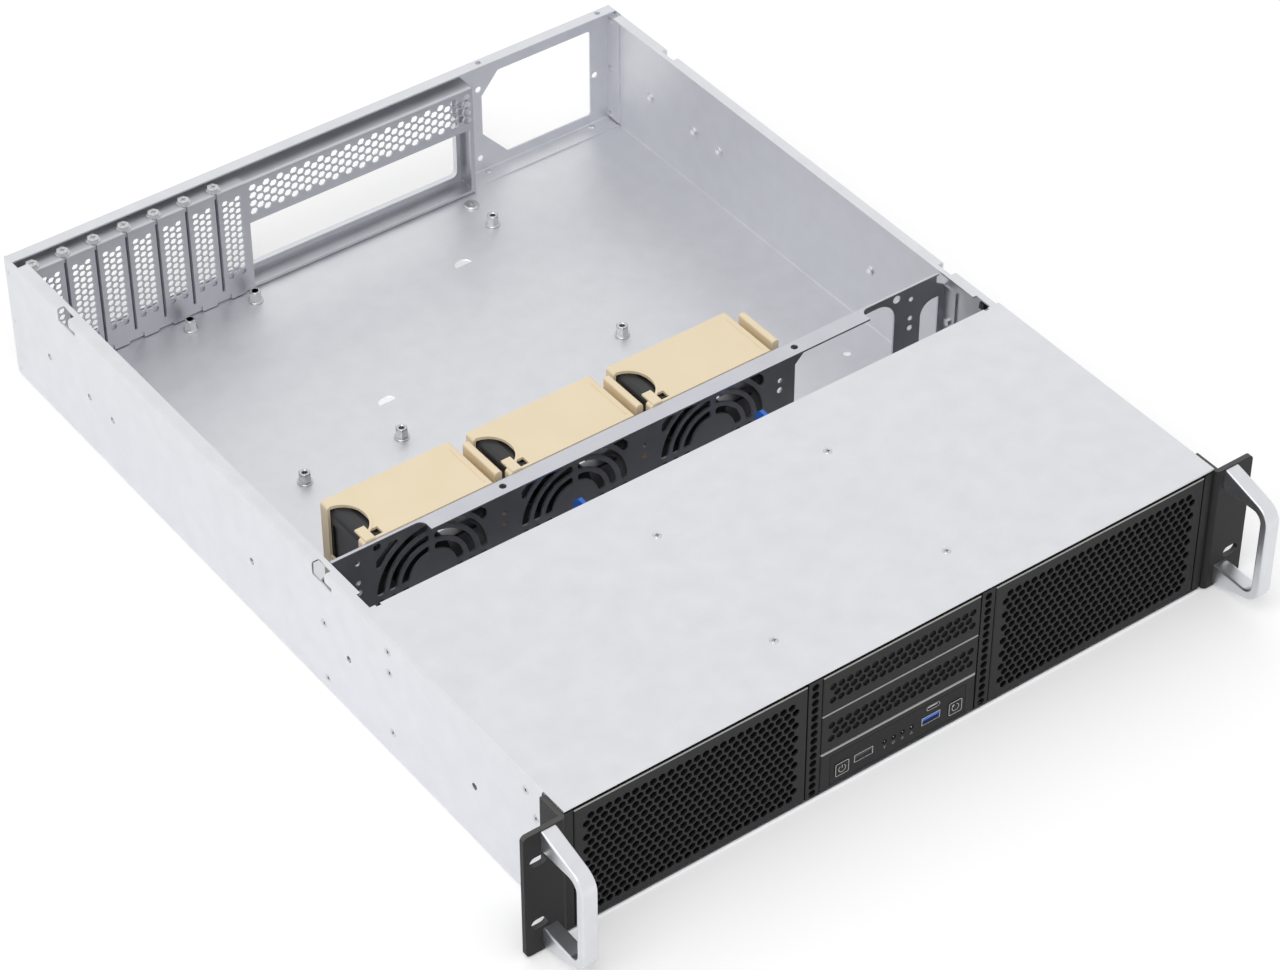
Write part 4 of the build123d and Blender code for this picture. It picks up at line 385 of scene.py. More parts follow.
def slotCoverPiece(number):
    node = f"slot_cover_{number}"
    x0, x1, front, back, z0, z1 = nodeBox(node)
    middle = (x0 + x1) / 2
    half, tongue = slotCover["width"] / 2, slotCover["tongue"] / 2
    bendZ = z1 - slotCover["bend"]
    bm = bmesh.new()
    low, high, foot = slotCover["shoulderLow"], slotCover["shoulderHigh"], slotCover["tongueBottom"]
    right = [(tongue, foot), (tongue, low), (half, high), (half, bendZ)]
    outline = [(middle + x, z) for x, z in right] + [(middle - x, z) for x, z in reversed(right)]
    edges = outlineLoop(bm, outline, front)
    centres = []
    for column, x in enumerate(slotCover["columns"]):
        odd = column % 2
        for k in range(slotCover["rows"] - odd):
            centres.append((middle + x, slotCover["top"] - (k + odd / 2) * slotCover["pitch"]))
    edges += hexHoles(bm, centres, slotCover["hole"], True, front)
    fill(bm, edges)
    top = [edge for edge in bm.edges if all(abs(v.co.z - bendZ * mm) < nearby for v in edge.verts)]
    spun = bmesh.ops.spin(bm, geom=top, cent=place(middle, front + slotCover["bend"], bendZ), axis=(1, 0, 0),
                          angle=-math.pi / 2, steps=slotCover["bendSteps"])["geom_last"]
    extrudeEdges(bm, pick(spun, bmesh.types.BMEdge), (0, back - front - slotCover["bend"], 0))
    bmesh.ops.recalc_face_normals(bm, faces=bm.faces)
    bmesh.ops.solidify(bm, geom=bm.faces[:], thickness=slotCover["sheet"] * mm)
    # The slot covers take the darker zinc, as painted shade
    finishPiece(f"slotCover{number}", bm, node, finish="shadedZinc")


for number in range(1, 8):
    slotCoverPiece(number)
print("slot covers pierced")


# The front of a sheet is its outside, so the wall grows towards the back
def foldedSheet(bm, thickness):
    bmesh.ops.remove_doubles(bm, verts=bm.verts, dist=weld * mm)
    bmesh.ops.recalc_face_normals(bm, faces=bm.faces)
    bm.faces.ensure_lookup_table()
    largest = max(bm.faces, key=lambda face: face.calc_area())
    if largest.normal.y > 0:
        bmesh.ops.reverse_faces(bm, faces=bm.faces)
    bmesh.ops.solidify(bm, geom=bm.faces[:], thickness=thickness * mm)


def edgesAlong(bm, axis, value):
    return [edge for edge in bm.edges if edge.is_boundary
            and all(abs(vert.co[axis] - value * mm) < nearby for vert in edge.verts)]


# Bends the sheet back at an edge and carries it on as a flange
def foldBack(bm, edges, centre, axis, angle, steps, reach):
    spun = bmesh.ops.spin(bm, geom=edges, cent=place(*centre), axis=axis, angle=angle,
                          steps=steps)["geom_last"]
    extrudeEdges(bm, pick(spun, bmesh.types.BMEdge), (0, reach, 0))


bracket = {"sheet": 1.0, "bend": 1.6, "bendSteps": 4, "leftRelief": 1.0, "firstGap": -205.42,
           "slotPitch": 20.32, "slots": 7, "slotWidth": 13.4, "slotLow": 19.2, "slotHigh": 75.5,
           "window": (-61.3, 97.3, 4.0, 50.2), "ventStart": -57.7, "ventPitch": 4.803, "ventColumns": 33,
           "ventRows": 4, "ventTop": 74.9, "ventRise": 5.75, "ventHole": 4.6, "groove": 1.5, "grooveLow": 9.0,
           "grooveDepth": 2.6}


def slotBracket():
    x0, x1, front, back, z0, z1 = nodeBox("slot_io_bracket")
    x0 += bracket["leftRelief"]
    bend, rightBend = bracket["bend"], x1 - bracket["bend"]
    bm = bmesh.new()
    edges = outlineLoop(bm, rectangle(x0, rightBend, z0 + bend, z1 - bend), front)
    for number in range(bracket["slots"]):
        middle = bracket["firstGap"] + (number + 0.5) * bracket["slotPitch"]
        half = bracket["slotWidth"] / 2
        edges += outlineLoop(bm, rectangle(middle - half, middle + half, bracket["slotLow"],
                                           bracket["slotHigh"]), front)
    edges += outlineLoop(bm, rectangle(*bracket["window"]), front)
    grooves = []
    for number in range(bracket["slots"]):
        line = bracket["firstGap"] + number * bracket["slotPitch"]
        half = bracket["groove"] / 2
        grooves += outlineLoop(bm, rectangle(line - half, line + half, bracket["grooveLow"],
                                             z1 - 2 * bend), front)
    edges += grooves
    centres = []
    for column in range(bracket["ventColumns"]):
        odd = column % 2
        for row in range(bracket["ventRows"] - odd):
            centres.append((bracket["ventStart"] + column * bracket["ventPitch"],
                            bracket["ventTop"] - (row + odd / 2) * bracket["ventRise"]))
    edges += hexHoles(bm, centres, bracket["ventHole"], True, front)
    fill(bm, edges)
    reach = back - front - bend
    foldBack(bm, edgesAlong(bm, 2, z1 - bend), (0, front + bend, z1 - bend), (1, 0, 0), -math.pi / 2,
             bracket["bendSteps"], reach)
    foldBack(bm, edgesAlong(bm, 2, z0 + bend), (0, front + bend, z0 + bend), (1, 0, 0), math.pi / 2,
             bracket["bendSteps"], reach)
    side = [edge for edge in edgesAlong(bm, 0, rightBend)
            if all(abs(vert.co.y - rackFaceY - front * mm) < nearby for vert in edge.verts)]
    foldBack(bm, side, (rightBend, front + bend, 0), (0, 0, 1), math.pi / 2, bracket["bendSteps"], reach)
    deepened = extrudeEdges(bm, grooves, (0, bracket["grooveDepth"], 0))
    bmesh.ops.holes_fill(bm, edges=[edge for edge in deepened if edge.is_boundary], sides=4)
    foldedSheet(bm, bracket["sheet"])
    # The bracket takes the darker zinc, as painted shade
    finishPiece("slotBracket", bm, "slot_io_bracket", finish="shadedZinc")


slotBracket()
print("slot bracket folded")

frontFrame = {"sheet": 1.2, "strip": (53.0, 61.8), "endStrip": 209.3, "seat": 4.0, "depth": 3.0, "holes": 15,
              "holeTop": 80.6, "holePitch": 5.46, "holeRadius": 2.35, "holeSides": 16, "panelLow": 1.2,
              "panelHigh": 83.6, "wallCover": (213.8, 214.9), "padFront": 4.4}


def frontFramePiece():
    x0, x1, front, back, z0, z1 = nodeBox("front_frame")
    inner, outer = frontFrame["strip"]
    end, seat = frontFrame["endStrip"], frontFrame["seat"]
    rear = front + frontFrame["depth"]
    bm = bmesh.new()
    for side in (-1, 1):
        a, b = sorted((side * inner, side * outer))
        edges = outlineLoop(bm, rectangle(a, b, z0, z1), front)
        for k in range(frontFrame["holes"]):
            z = frontFrame["holeTop"] - k * frontFrame["holePitch"]
            turn = Matrix.Translation(place((a + b) / 2, front, z)) @ Matrix.Rotation(math.pi / 2, 4, "X")
            ring = bmesh.ops.create_circle(bm, segments=frontFrame["holeSides"],
                                           radius=frontFrame["holeRadius"] * mm, matrix=turn)
            edges += {edge for vert in ring["verts"] for edge in vert.link_edges}
        fill(bm, edges)
        a, b = sorted((side * end, side * frontFrame["wallCover"][1]))
        fill(bm, outlineLoop(bm, rectangle(a, b, z0, z1), front))
        for x in (inner, outer, end):
            extrudeEdges(bm, edgesAlong(bm, 0, side * x), (0, frontFrame["depth"], 0))
    low, high = frontFrame["panelLow"] + seat, frontFrame["panelHigh"] - seat
    for a, b in ((-end, -outer), (-inner, inner), (outer, end)):
        rim = outlineLoop(bm, rectangle(a, b, z0, z1), rear)
        window = outlineLoop(bm, rectangle(a + seat, b - seat, low, high), rear)
        bmesh.ops.bridge_loops(bm, edges=rim + window)
    foldedSheet(bm, frontFrame["sheet"])
    finishPiece("frontFrame", bm, "front_frame")


frontFramePiece()
print("front frame pierced")


# The separate solids of a node, as boxes in order of place
def solidBoxes(node):
    bm = bmesh.new()
    bm.from_mesh(frame["nodes"][node].data)
    bmesh.ops.remove_doubles(bm, verts=bm.verts, dist=weld * mm)
    left, boxes = set(bm.verts), []
    while left:
        group, edge = set(), [next(iter(left))]
        while edge:
            vert = edge.pop()
            if vert in group:
                continue
            group.add(vert)
            edge += [link.other_vert(vert) for link in vert.link_edges]
        left -= group
        spans = [[vert.co[axis] for vert in group] for axis in range(3)]
        x, y, z = [(min(span) / mm, max(span) / mm) for span in spans]
        boxes.append((x[0], x[1], y[0] - rackFaceY / mm, y[1] - rackFaceY / mm, z[0], z[1]))
    bm.free()
    return sorted(boxes)


# Dark pads stand behind every pierced front as painted shade, so that the holes read dark
pad = {"margin": 0.4, "edge": 0.5, "windowLow": 5.2, "windowHigh": 79.6, "window": (65.8, 205.3),
       "front": 6.2, "depth": 3.0, "trayFront": 1.4, "trayDepth": 1.4, "strip": (54.3, 60.5)}


# A dark pad put behind the holes where there is only shade: painted shade
def shadePad(name, x0, x1, front, depth, z0, z1, finish):
    bm = bmesh.new()
    extrude(bm, fill(bm, outlineLoop(bm, rectangle(x0, x1, z0, z1), front)), (0, depth, 0))
    bmesh.ops.recalc_face_normals(bm, faces=bm.faces)
    bevelEdges(bm, [edge for edge in bm.edges if edge.calc_face_angle(0) > sharpAngle], pad["edge"])
    finishPiece(name, bm, None, slot="black_paint", finish=finish)


def shadePads():
    gap = pad["margin"]
    for side, sign in (("left", -1), ("right", 1)):
        x0, x1 = sorted(sign * x for x in pad["window"])
        shadePad(f"{side}ShadePad", x0 + gap, x1 - gap, pad["front"], pad["depth"], pad["windowLow"] + gap,
                pad["windowHigh"] - gap, "shadeBlack")
        x0, x1 = sorted(sign * x for x in pad["strip"])
        low, high = nodeBox("front_frame")[4:]
        shadePad(f"{side}StripPad", x0, x1, frontFrame["padFront"], pad["trayDepth"], low + gap, high - gap,
                "shadeBlack")
    for level in ("upper", "middle"):
        x0, x1, front, back, z0, z1 = nodeBox(f"{level}_bay_cover")
        inset = bayCover["sheet"] + gap
        shadePad(f"{level}BayPad", x0 + inset, x1 - inset, front + pad["trayFront"], pad["trayDepth"],
                z0 + inset, z1 - inset, "shadeGrey")


shadePads()

standoff = {"sides": 24, "flange": 4.6, "flangeTop": 1.0, "footRound": 0.3, "topRound": 0.2,
            "filletWide": 0.3, "filletHigh": 0.4, "flats": 6.7, "ring": 2.95, "ringRound": (0.2, 0.15),
            "mouth": 2.1, "mouthDeep": 0.6, "bore": 1.55, "chamfer": 0.9, "boreFoot": 1.6}


# Rings joined from the first to the last, each a circle or a hexagon of that half width
def stackRings(bm, x, y, rings, sides):
    last = None
    for z, radius, hexagon in rings:
        made = bmesh.ops.create_circle(bm, segments=sides, radius=radius * mm,
                                       matrix=Matrix.Translation(place(x, y, z)))["verts"]
        if hexagon:
            for vert in made:
                spoke = vert.co - place(x, y, z)
                turn = math.atan2(spoke.y, spoke.x) % (math.pi / 3) - math.pi / 6
                vert.co = place(x, y, z) + spoke / math.cos(turn)
        loop = list({edge for vert in made for edge in vert.link_edges})
        if last:
            bmesh.ops.bridge_loops(bm, edges=last + loop)
        else:
            bmesh.ops.contextual_create(bm, geom=loop)
        last = loop
    bmesh.ops.contextual_create(bm, geom=last)


def floorStandoffs():
    bm = bmesh.new()
    for x0, x1, front, back, z0, z1 in solidBoxes("floor_standoffs"):
        flange, flats, collar = standoff["flange"], standoff["flats"] / 2, z0 + standoff["flangeTop"]
        foot, rim, (wide, high) = standoff["footRound"], standoff["topRound"], standoff["ringRound"]
        rings = [(z0, flange - foot, False), (z0 + foot, flange, False), (collar - rim, flange, False),
                 (collar, flange - rim, False), (collar, flats + standoff["filletWide"], True),
                 (collar + standoff["filletHigh"], flats, True), (z1 - standoff["chamfer"], flats, True),
                 (z1 - high, standoff["ring"] + wide, False), (z1, standoff["ring"], False),
                 (z1, standoff["mouth"], False), (z1 - standoff["mouthDeep"], standoff["bore"], False),
                 (z0 + standoff["boreFoot"], standoff["bore"], False)]
        stackRings(bm, (x0 + x1) / 2, (front + back) / 2, rings, standoff["sides"])
    finishPiece("floorStandoffs", bm, "floor_standoffs")


floorStandoffs()
print("shade pads and standoffs set")


# A merged copy of a sheet, in as few flat faces as it has
def sheetCopy(node):
    bm = bmesh.new()
    bm.from_mesh(frame["nodes"][node].data)
    bmesh.ops.remove_doubles(bm, verts=bm.verts, dist=weld * mm)
    bmesh.ops.dissolve_limit(bm, angle_limit=math.radians(0.5), verts=bm.verts, edges=bm.edges)
    return bm


# Breaks the long sharp edges, as on a tumbled pressing, and paints a highlight on them by that share
def breakEdges(bm, width, shortest, share=0.0):
    edges = [edge for edge in bm.edges
             if edge.is_manifold and edge.calc_length() > shortest * mm
             and edge.calc_face_angle(0) > foldAngle]
    rounded = bmesh.ops.bevel(bm, geom=edges, offset=width * mm, segments=2, affect="EDGES", profile=0.5,
                              material=-1, clamp_overlap=True)["faces"]
    paintHighlightFaces(bm, rounded, share)


# Cuts a closed mesh out of the sheet
def carve(bm, cutter):
    sheet, tool = bpy.data.meshes.new("sheet"), bpy.data.meshes.new("tool")
    bm.to_mesh(sheet)
    bmesh.ops.recalc_face_normals(cutter, faces=cutter.faces)
    cutter.to_mesh(tool)
    cutter.free()
    holder, blade = bpy.data.objects.new("sheet", sheet), bpy.data.objects.new("tool", tool)
    for obj in (holder, blade):
        bpy.context.scene.collection.objects.link(obj)
    cut = holder.modifiers.new("cut", "BOOLEAN")
    cut.operation, cut.object, cut.solver = "DIFFERENCE", blade, "EXACT"
    shape = bpy.data.meshes.new_from_object(holder.evaluated_get(bpy.context.evaluated_depsgraph_get()))
    bm.clear()
    bm.from_mesh(shape)
    for obj in (holder, blade):
        bpy.data.objects.remove(obj)


def block(bm, x0, x1, front, back, z0, z1):
    size = Matrix.Diagonal(((x1 - x0) * mm, (back - front) * mm, (z1 - z0) * mm, 1))
    centre = Matrix.Translation(place((x0 + x1) / 2, (front + back) / 2, (z0 + z1) / 2))
    bmesh.ops.create_cube(bm, size=1, matrix=centre @ size)


def cutAway(bm, boxes):
    for box in boxes:
        cutter = bmesh.new()
        block(cutter, *box)
        carve(bm, cutter)


# How far a cutter reaches past the sheet
past = 1.0
floorMark = {"places": ((52.7, 482.5), (-56.4, 401.9)), "radius": 5.8, "deep": 0.5, "top": 1.0, "steps": 18}


# Half-round pressings in the floor
def pressFloor(bm):
    for x, y in floorMark["places"]:
        cutter = bmesh.new()
        radius, top = floorMark["radius"], floorMark["top"]
        turns = [math.pi * k / floorMark["steps"] for k in range(floorMark["steps"] + 1)]
        arc = [(x + radius * math.cos(turn), y + radius * math.sin(turn)) for turn in turns]
        high = [cutter.verts.new(place(a, b, top + past)) for a, b in arc]
        low = [cutter.verts.new(place(a, b, top - floorMark["deep"])) for a, b in arc]
        cutter.faces.new(high)
        cutter.faces.new(low)
        for k in range(len(arc)):
            cutter.faces.new((high[k - 1], high[k], low[k], low[k - 1]))
        carve(bm, cutter)


rearWindow = {"left": -65.3, "right": 95.0, "low": 8.5, "hemTop": 44.0, "top": 79.5, "side": 8.0,
              "sheets": 6.0, "edge": 0.25, "shortest": 6, "edgeHighlight": 0.6}


# One opening shows the slots, the vent and the connectors, with its hem along the foot and the right side
def rearPanel():
    x0, x1, front, back, z0, z1 = nodeBox("rear_panel")
    bm = sheetCopy("rear_panel")
    left, top, inside = rearWindow["left"], rearWindow["top"], back - rearWindow["sheets"]
    cutAway(bm, [(left, left + rearWindow["side"], inside, back + past, rearWindow["low"], top),
                 (left, rearWindow["right"], inside, back + past, rearWindow["hemTop"], top)])
    # Painted highlight on the broken edges of the rear panel
    breakEdges(bm, rearWindow["edge"], rearWindow["shortest"], rearWindow["edgeHighlight"])
    finishPiece("rearPanel", bm, "rear_panel")


rearPanel()

fanWall = {"flangeEnd": 149.0, "corner": 4.5, "cornerSteps": 6, "sheet": 2.0, "fit": 0.1, "below": 3.0,
           "behind": 4.0, "edge": 0.3, "shortest": 6, "edgeHighlight": 0.5}


# The top flange meets its cut-back ends in rounded inner corners
def fanWallPiece():
    bm = sheetCopy("fan_wall")
    x0, x1, front, back, z0, z1 = nodeBox("fan_wall")
    nearest = place(fanWall["flangeEnd"] - fanWall["fit"], front + fanWall["behind"], z1 - fanWall["below"])
    farthest = (fanWall["flangeEnd"] + fanWall["fit"]) * mm
    inner = [edge for edge in bm.edges
             if edge.calc_length() < fanWall["sheet"] * mm and edge.calc_face_angle(0) > sharpAngle
             and abs(edge.verts[0].co.y - edge.verts[1].co.y) < nearby
             and all(nearest.x < abs(vert.co.x) < farthest and vert.co.y > nearest.y and vert.co.z > nearest.z
                     for vert in edge.verts)]
    bevelEdges(bm, inner, fanWall["corner"], fanWall["cornerSteps"])
    # Painted highlight on the broken edges of the fan wall
    breakEdges(bm, fanWall["edge"], fanWall["shortest"], fanWall["edgeHighlight"])
    finishPiece("fanWall", bm, "fan_wall")


fanWallPiece()

sheets = {"shortest": 8, "coverEdge": 0.6, "trayEdge": 0.35, "trayHighlight": 0.6, "earEdge": 0.5, "earHighlight": 0.14,
          "earSlope": 0.4, "wallBack": 4.5, "wallFoot": 1.3}


# The side walls end behind the front frame, which laps over their edges
def dressSheets():
    bm = sheetCopy("front_cover")
    # Painted highlight on the broken edges of the cover
    breakEdges(bm, sheets["coverEdge"], sheets["shortest"], topHighlight)
    finishPiece("frontCover", bm, "front_cover")
    x0, x1, front, back, z0, z1 = nodeBox("base_tray")
    edge = frontFrame["wallCover"][0]
    bm = sheetCopy("base_tray")
    cutAway(bm, [(a, b, front - past, sheets["wallBack"], sheets["wallFoot"], z1 + past)
                 for a, b in ((x0 - past, -edge), (edge, x1 + past))])
    # Painted highlight on the broken edges of the tray
    breakEdges(bm, sheets["trayEdge"], sheets["shortest"], sheets["trayHighlight"])
    pressFloor(bm)
    bmesh.ops.remove_doubles(bm, verts=bm.verts, dist=seamWeld * mm)
    finishPiece("baseTray", bm, "base_tray")
    for side in ("left", "right"):
        bm = sheetCopy(f"{side}_ear")
        breakEdges(bm, sheets["earEdge"], sheets["shortest"])
        bm.normal_update()
        # Painted highlight on the upward-facing faces of the ears, where light falls from above
        paintHighlightFaces(bm, [face for face in bm.faces if face.normal.z > sheets["earSlope"]], sheets["earHighlight"])
        finishPiece(f"{side}Ear", bm, f"{side}_ear")


dressSheets()
print("sheets dressed")

marks = {"proud": 0.03, "depth": 0.12, "line": 0.38, "steps": 20, "cornerSteps": 4, "square": 4.5,
         "squareCorner": 1.1, "ring": 2.3, "powerTurn": (125, 415), "bar": (0.2, 2.5), "resetTurn": (142, 430),
         "arrow": ((-0.8, 2.7), (-2.6, 2.0), (-1.2, 0.8)), "lights": (-9.0, -3.0, 3.1, 9.2), "lightZ": 9.4,
         "pin": ((-0.9, 0.9), (0.9, 0.9), (0.25, 0), (0.25, -1.1), (-0.25, -1.1), (-0.25, 0)),
         "dot": (1.0, 0.8), "peak": ((-1.1, -0.9), (1.1, -0.9), (0, 1.1)),
         "peakHole": ((-0.5, -0.5), (0.5, -0.5), (0, 0.4))}


def arcPoints(x, z, radius, start, end, steps):
    turns = [math.radians(start + (end - start) * k / steps) for k in range(steps + 1)]
    return [(x + radius * math.cos(turn), z + radius * math.sin(turn)) for turn in turns]


def arcBand(x, z, radius, start, end):
    half = marks["line"] / 2
    return [arcPoints(x, z, radius + half, start, end, marks["steps"])
            + arcPoints(x, z, radius - half, end, start, marks["steps"])]


def roundSquare(x, z, half, corner):
    points = []
    for turn, (sx, sz) in enumerate(((1, 1), (-1, 1), (-1, -1), (1, -1))):
        points += arcPoints(x + sx * (half - corner), z + sz * (half - corner), corner, turn * 90,
                            turn * 90 + 90, marks["cornerSteps"])
    return points


def squareRing(x, z, half, corner):
    line = marks["line"]
    return [roundSquare(x, z, half, corner), roundSquare(x, z, half - line, corner - line / 2)]


def shifted(points, x, z):
    return [(x + a, z + b) for a, b in points]


# Each shape is an outline with its holes after it, printed on a face
def markPiece(name, face, shapes, body, slot, finish="inkAndGlint"):
    bm = bmesh.new()
    for shape in shapes:
        edges = [edge for points in shape for edge in outlineLoop(bm, points, face - marks["proud"])]
        fill(bm, edges)
    extrude(bm, bm.faces[:], (0, marks["depth"], 0))
    finishPiece(name, bm, None, body=body, slot=slot, finish=finish)


def controlMarks():
    half, (low, high) = marks["line"] / 2, marks["bar"]
    for button in ("power", "reset"):
        x0, x1, front, back, z0, z1 = nodeBox(f"{button}_button")
        x, z = (x0 + x1) / 2, (z0 + z1) / 2
        shapes = [squareRing(x, z, marks["square"], marks["squareCorner"])]
        if button == "power":
            shapes += [arcBand(x, z - low, marks["ring"], *marks["powerTurn"]),
                       [rectangle(x - half, x + half, z + low, z + high)]]
        else:
            shapes += [arcBand(x, z, marks["ring"], *marks["resetTurn"]), [shifted(marks["arrow"], x, z)]]
        markPiece(f"{button}Mark", front, shapes, f"{button}_button", "button_plastic")
    face, z, (pin, dot, *peaks) = nodeBox("control_bezel")[2], marks["lightZ"], marks["lights"]
    shapes = [[shifted(marks["pin"], pin, z)], squareRing(dot, z, *marks["dot"])]
    for x in peaks:
        shapes.append([shifted(marks["peak"], x, z), shifted(marks["peakHole"], x, z)])
    markPiece("lightMarks", face, shapes, "chassis", "bezel_plastic", "dimMark")


controlMarks()

port = {"wall": 0.4, "recess": 0.2, "insert": 1.6, "insertBack": 0.5, "tongue": (0.6, 0.9, 2.5),
        "tongueFront": 0.5, "tongueBack": 1.0, "edge": 0.15}


def portBlock(name, box, slot, finish):
    bm = bmesh.new()
    block(bm, *box)
    bevelEdges(bm, bm.edges[:], port["edge"])
    finishPiece(name, bm, None, slot=slot, finish=finish)


# A port is a thin metal shell around a dark insert with a tongue under its upper side
def portPieces(side, insertFinish, tongueFinish):
    node = f"{side}_data_port"
    x0, x1, front, back, z0, z1 = nodeBox(node)
    mouth, wall, (inset, high, low) = front + port["recess"], port["wall"], port["tongue"]
    bm = bmesh.new()
    outer = outlineLoop(bm, rectangle(x0, x1, z0, z1), mouth)
    inner = outlineLoop(bm, rectangle(x0 + wall, x1 - wall, z0 + wall, z1 - wall), mouth)
    rim = bmesh.ops.bridge_loops(bm, edges=outer + inner)["faces"]
    extrude(bm, rim, (0, back - mouth, 0))
    finishPiece(f"{side}PortShell", bm, node, finish="screw")
    portBlock(f"{side}PortInsert", (x0 + wall, x1 - wall, mouth + port["insert"], back - port["insertBack"],
                                    z0 + wall, z1 - wall), slotOf[node], insertFinish)
    portBlock(f"{side}PortTongue", (x0 + inset, x1 - inset, front + port["tongueFront"],
                                    back - port["tongueBack"], z1 - low, z1 - high), slotOf[node],
              tongueFinish)


portPieces("left", "fan", "fan")
# The right port's insert is the blue plastic darkened as painted shade
portPieces("right", "shadedBlue", "blue")

lamp = {"sides": 20, "ring": 1.1, "lip": 0.15, "floor": 0.8, "sink": 0.45, "dome": 0.42, "domeSink": 0.2}


# Each lamp is a black well with a small pale dome at its bottom, a painted glint
def indicatorLamps():
    wells, glintDomes = bmesh.new(), bmesh.new()
    for x0, x1, front, back, z0, z1 in solidBoxes("indicator_lights"):
        middle = Matrix.Translation(place((x0 + x1) / 2, front, (z0 + z1) / 2))
        turn = middle @ Matrix.Rotation(-math.pi / 2, 4, "X")
        last = None
        for radius, deep in ((lamp["ring"], back - front), (lamp["ring"], 0), (lamp["ring"] - lamp["lip"], 0),
                             (lamp["floor"], lamp["sink"])):
            made = bmesh.ops.create_circle(wells, segments=lamp["sides"], radius=radius * mm,
                                           matrix=turn @ Matrix.Translation((0, 0, deep * mm)))["verts"]
            loop = list({edge for vert in made for edge in vert.link_edges})
            if last:
                bmesh.ops.bridge_loops(wells, edges=last + loop)
            else:
                bmesh.ops.contextual_create(wells, geom=loop)
            last = loop
        bmesh.ops.contextual_create(wells, geom=last)
        bmesh.ops.create_uvsphere(glintDomes, u_segments=12, v_segments=8, radius=lamp["dome"] * mm,
                                  matrix=turn @ Matrix.Translation((0, 0, lamp["domeSink"] * mm)))
    finishPiece("lampWells", wells, "indicator_lights", finish="bezel")
    # Painted glint: the domes take the pale ink finish
    finishPiece("lampGlintDomes", glintDomes, None, slot="light_lens", finish="inkAndGlint", smooth=60)


indicatorLamps()


panelTop = {"slope": 0.15, "band": 2.0}


# The panel under the bay covers has the same painted highlight on its top edge
def controlPanel():
    x0, x1, front, back, z0, z1 = nodeBox("control_panel")
    bm = sheetCopy("control_panel")
    bm.normal_update()
    slope, lowest = panelTop["slope"], (z1 - panelTop["band"]) * mm
    paintHighlightFaces(bm, [face for face in bm.faces if face.normal.z > slope and face.normal.y < -slope
                  and face.calc_center_median().z > lowest], topHighlight)
    finishPiece("controlPanel", bm, "control_panel")


controlPanel()
print("controls dressed")

flushScrew = {"sides": 28, "radius": 2.15, "edge": 0.25, "sink": 0.1, "reach": 1.25, "arm": 0.34, "deep": 1.3,
              "length": 3.2, "turn": 20}


def crossOutline(reach, half):
    corner = [(half, reach), (-half, reach), (-half, half)]
    points = []
    for turn in range(4):
        cos, sin = round(math.cos(turn * math.pi / 2)), round(math.sin(turn * math.pi / 2))
        points += [(x * cos - z * sin, x * sin + z * cos) for x, z in corner]
    return points


def grow(bm, edges, move):
    made = bmesh.ops.extrude_edge_only(bm, edges=edges)["geom"]
    for vert in pick(made, bmesh.types.BMVert):
        vert.co = move(vert.co)
    return [edge for edge in pick(made, bmesh.types.BMEdge) if edge.is_boundary]


# Flat heads with a cross recess, set in holes that are a little wider
def flushScrews(name, node):
    bm = bmesh.new()
    for x0, x1, front, back, z0, z1 in solidBoxes(node):
        head = bmesh.new()
        outline = crossOutline(flushScrew["reach"], flushScrew["arm"])
        face = [head.verts.new((x * mm, 0, z * mm)) for x, z in outline]
        cross = [head.edges.new((face[k - 1], face[k])) for k in range(len(face))]
        made = bmesh.ops.create_circle(head, segments=flushScrew["sides"], radius=flushScrew["radius"] * mm,
                                       matrix=Matrix.Rotation(math.pi / 2, 4, "X"))["verts"]
        rim = list({edge for vert in made for edge in vert.link_edges})
        fill(head, cross + rim)
        wider = 1 + flushScrew["edge"] / flushScrew["radius"]
        floor = grow(head, cross, lambda at: at + Vector((0, flushScrew["deep"] * mm, 0)))
        side = grow(head, rim, lambda at: Vector((at.x * wider, flushScrew["edge"] * mm, at.z * wider)))
        foot = grow(head, side, lambda at: at + Vector((0, flushScrew["length"] * mm, 0)))
        bmesh.ops.contextual_create(head, geom=floor)
        bmesh.ops.contextual_create(head, geom=foot)
        middle = Vector(((x0 + x1) / 2, (front + back) / 2, (z0 + z1) / 2))
        if x1 - x0 > z1 - z0:
            turn = Matrix.Rotation(-math.pi / 2, 4, "X")
            middle.z = z1 - flushScrew["sink"]
        else:
            sign = math.copysign(1, middle.x)
            turn = Matrix.Rotation(sign * math.pi / 2, 4, "Z")
            middle.x = (x1 if sign > 0 else x0) - sign * flushScrew["sink"]
        head.transform(Matrix.Translation(place(*middle)) @ turn
                       @ Matrix.Rotation(math.radians(flushScrew["turn"]), 4, "Y"))
        shape = bpy.data.meshes.new("head")
        head.to_mesh(shape)
        bm.from_mesh(shape)
        head.free()
    finishPiece(name, bm, node)


flushScrews("wallScrews", "wall_screws")
flushScrews("coverScrews", "cover_screws")

holderTrim = {"rim": 1.5, "high": 0.4, "embed": 0.3, "seat": 1.0, "holeHalf": (14.0, 15.0), "holeY": 20.0,
              "sweep": 84, "ribX": 37.6, "ribWide": 0.9, "ribFront": 3.0, "ribBack": 6.0, "outside": 41.85,
              "steps": 20}


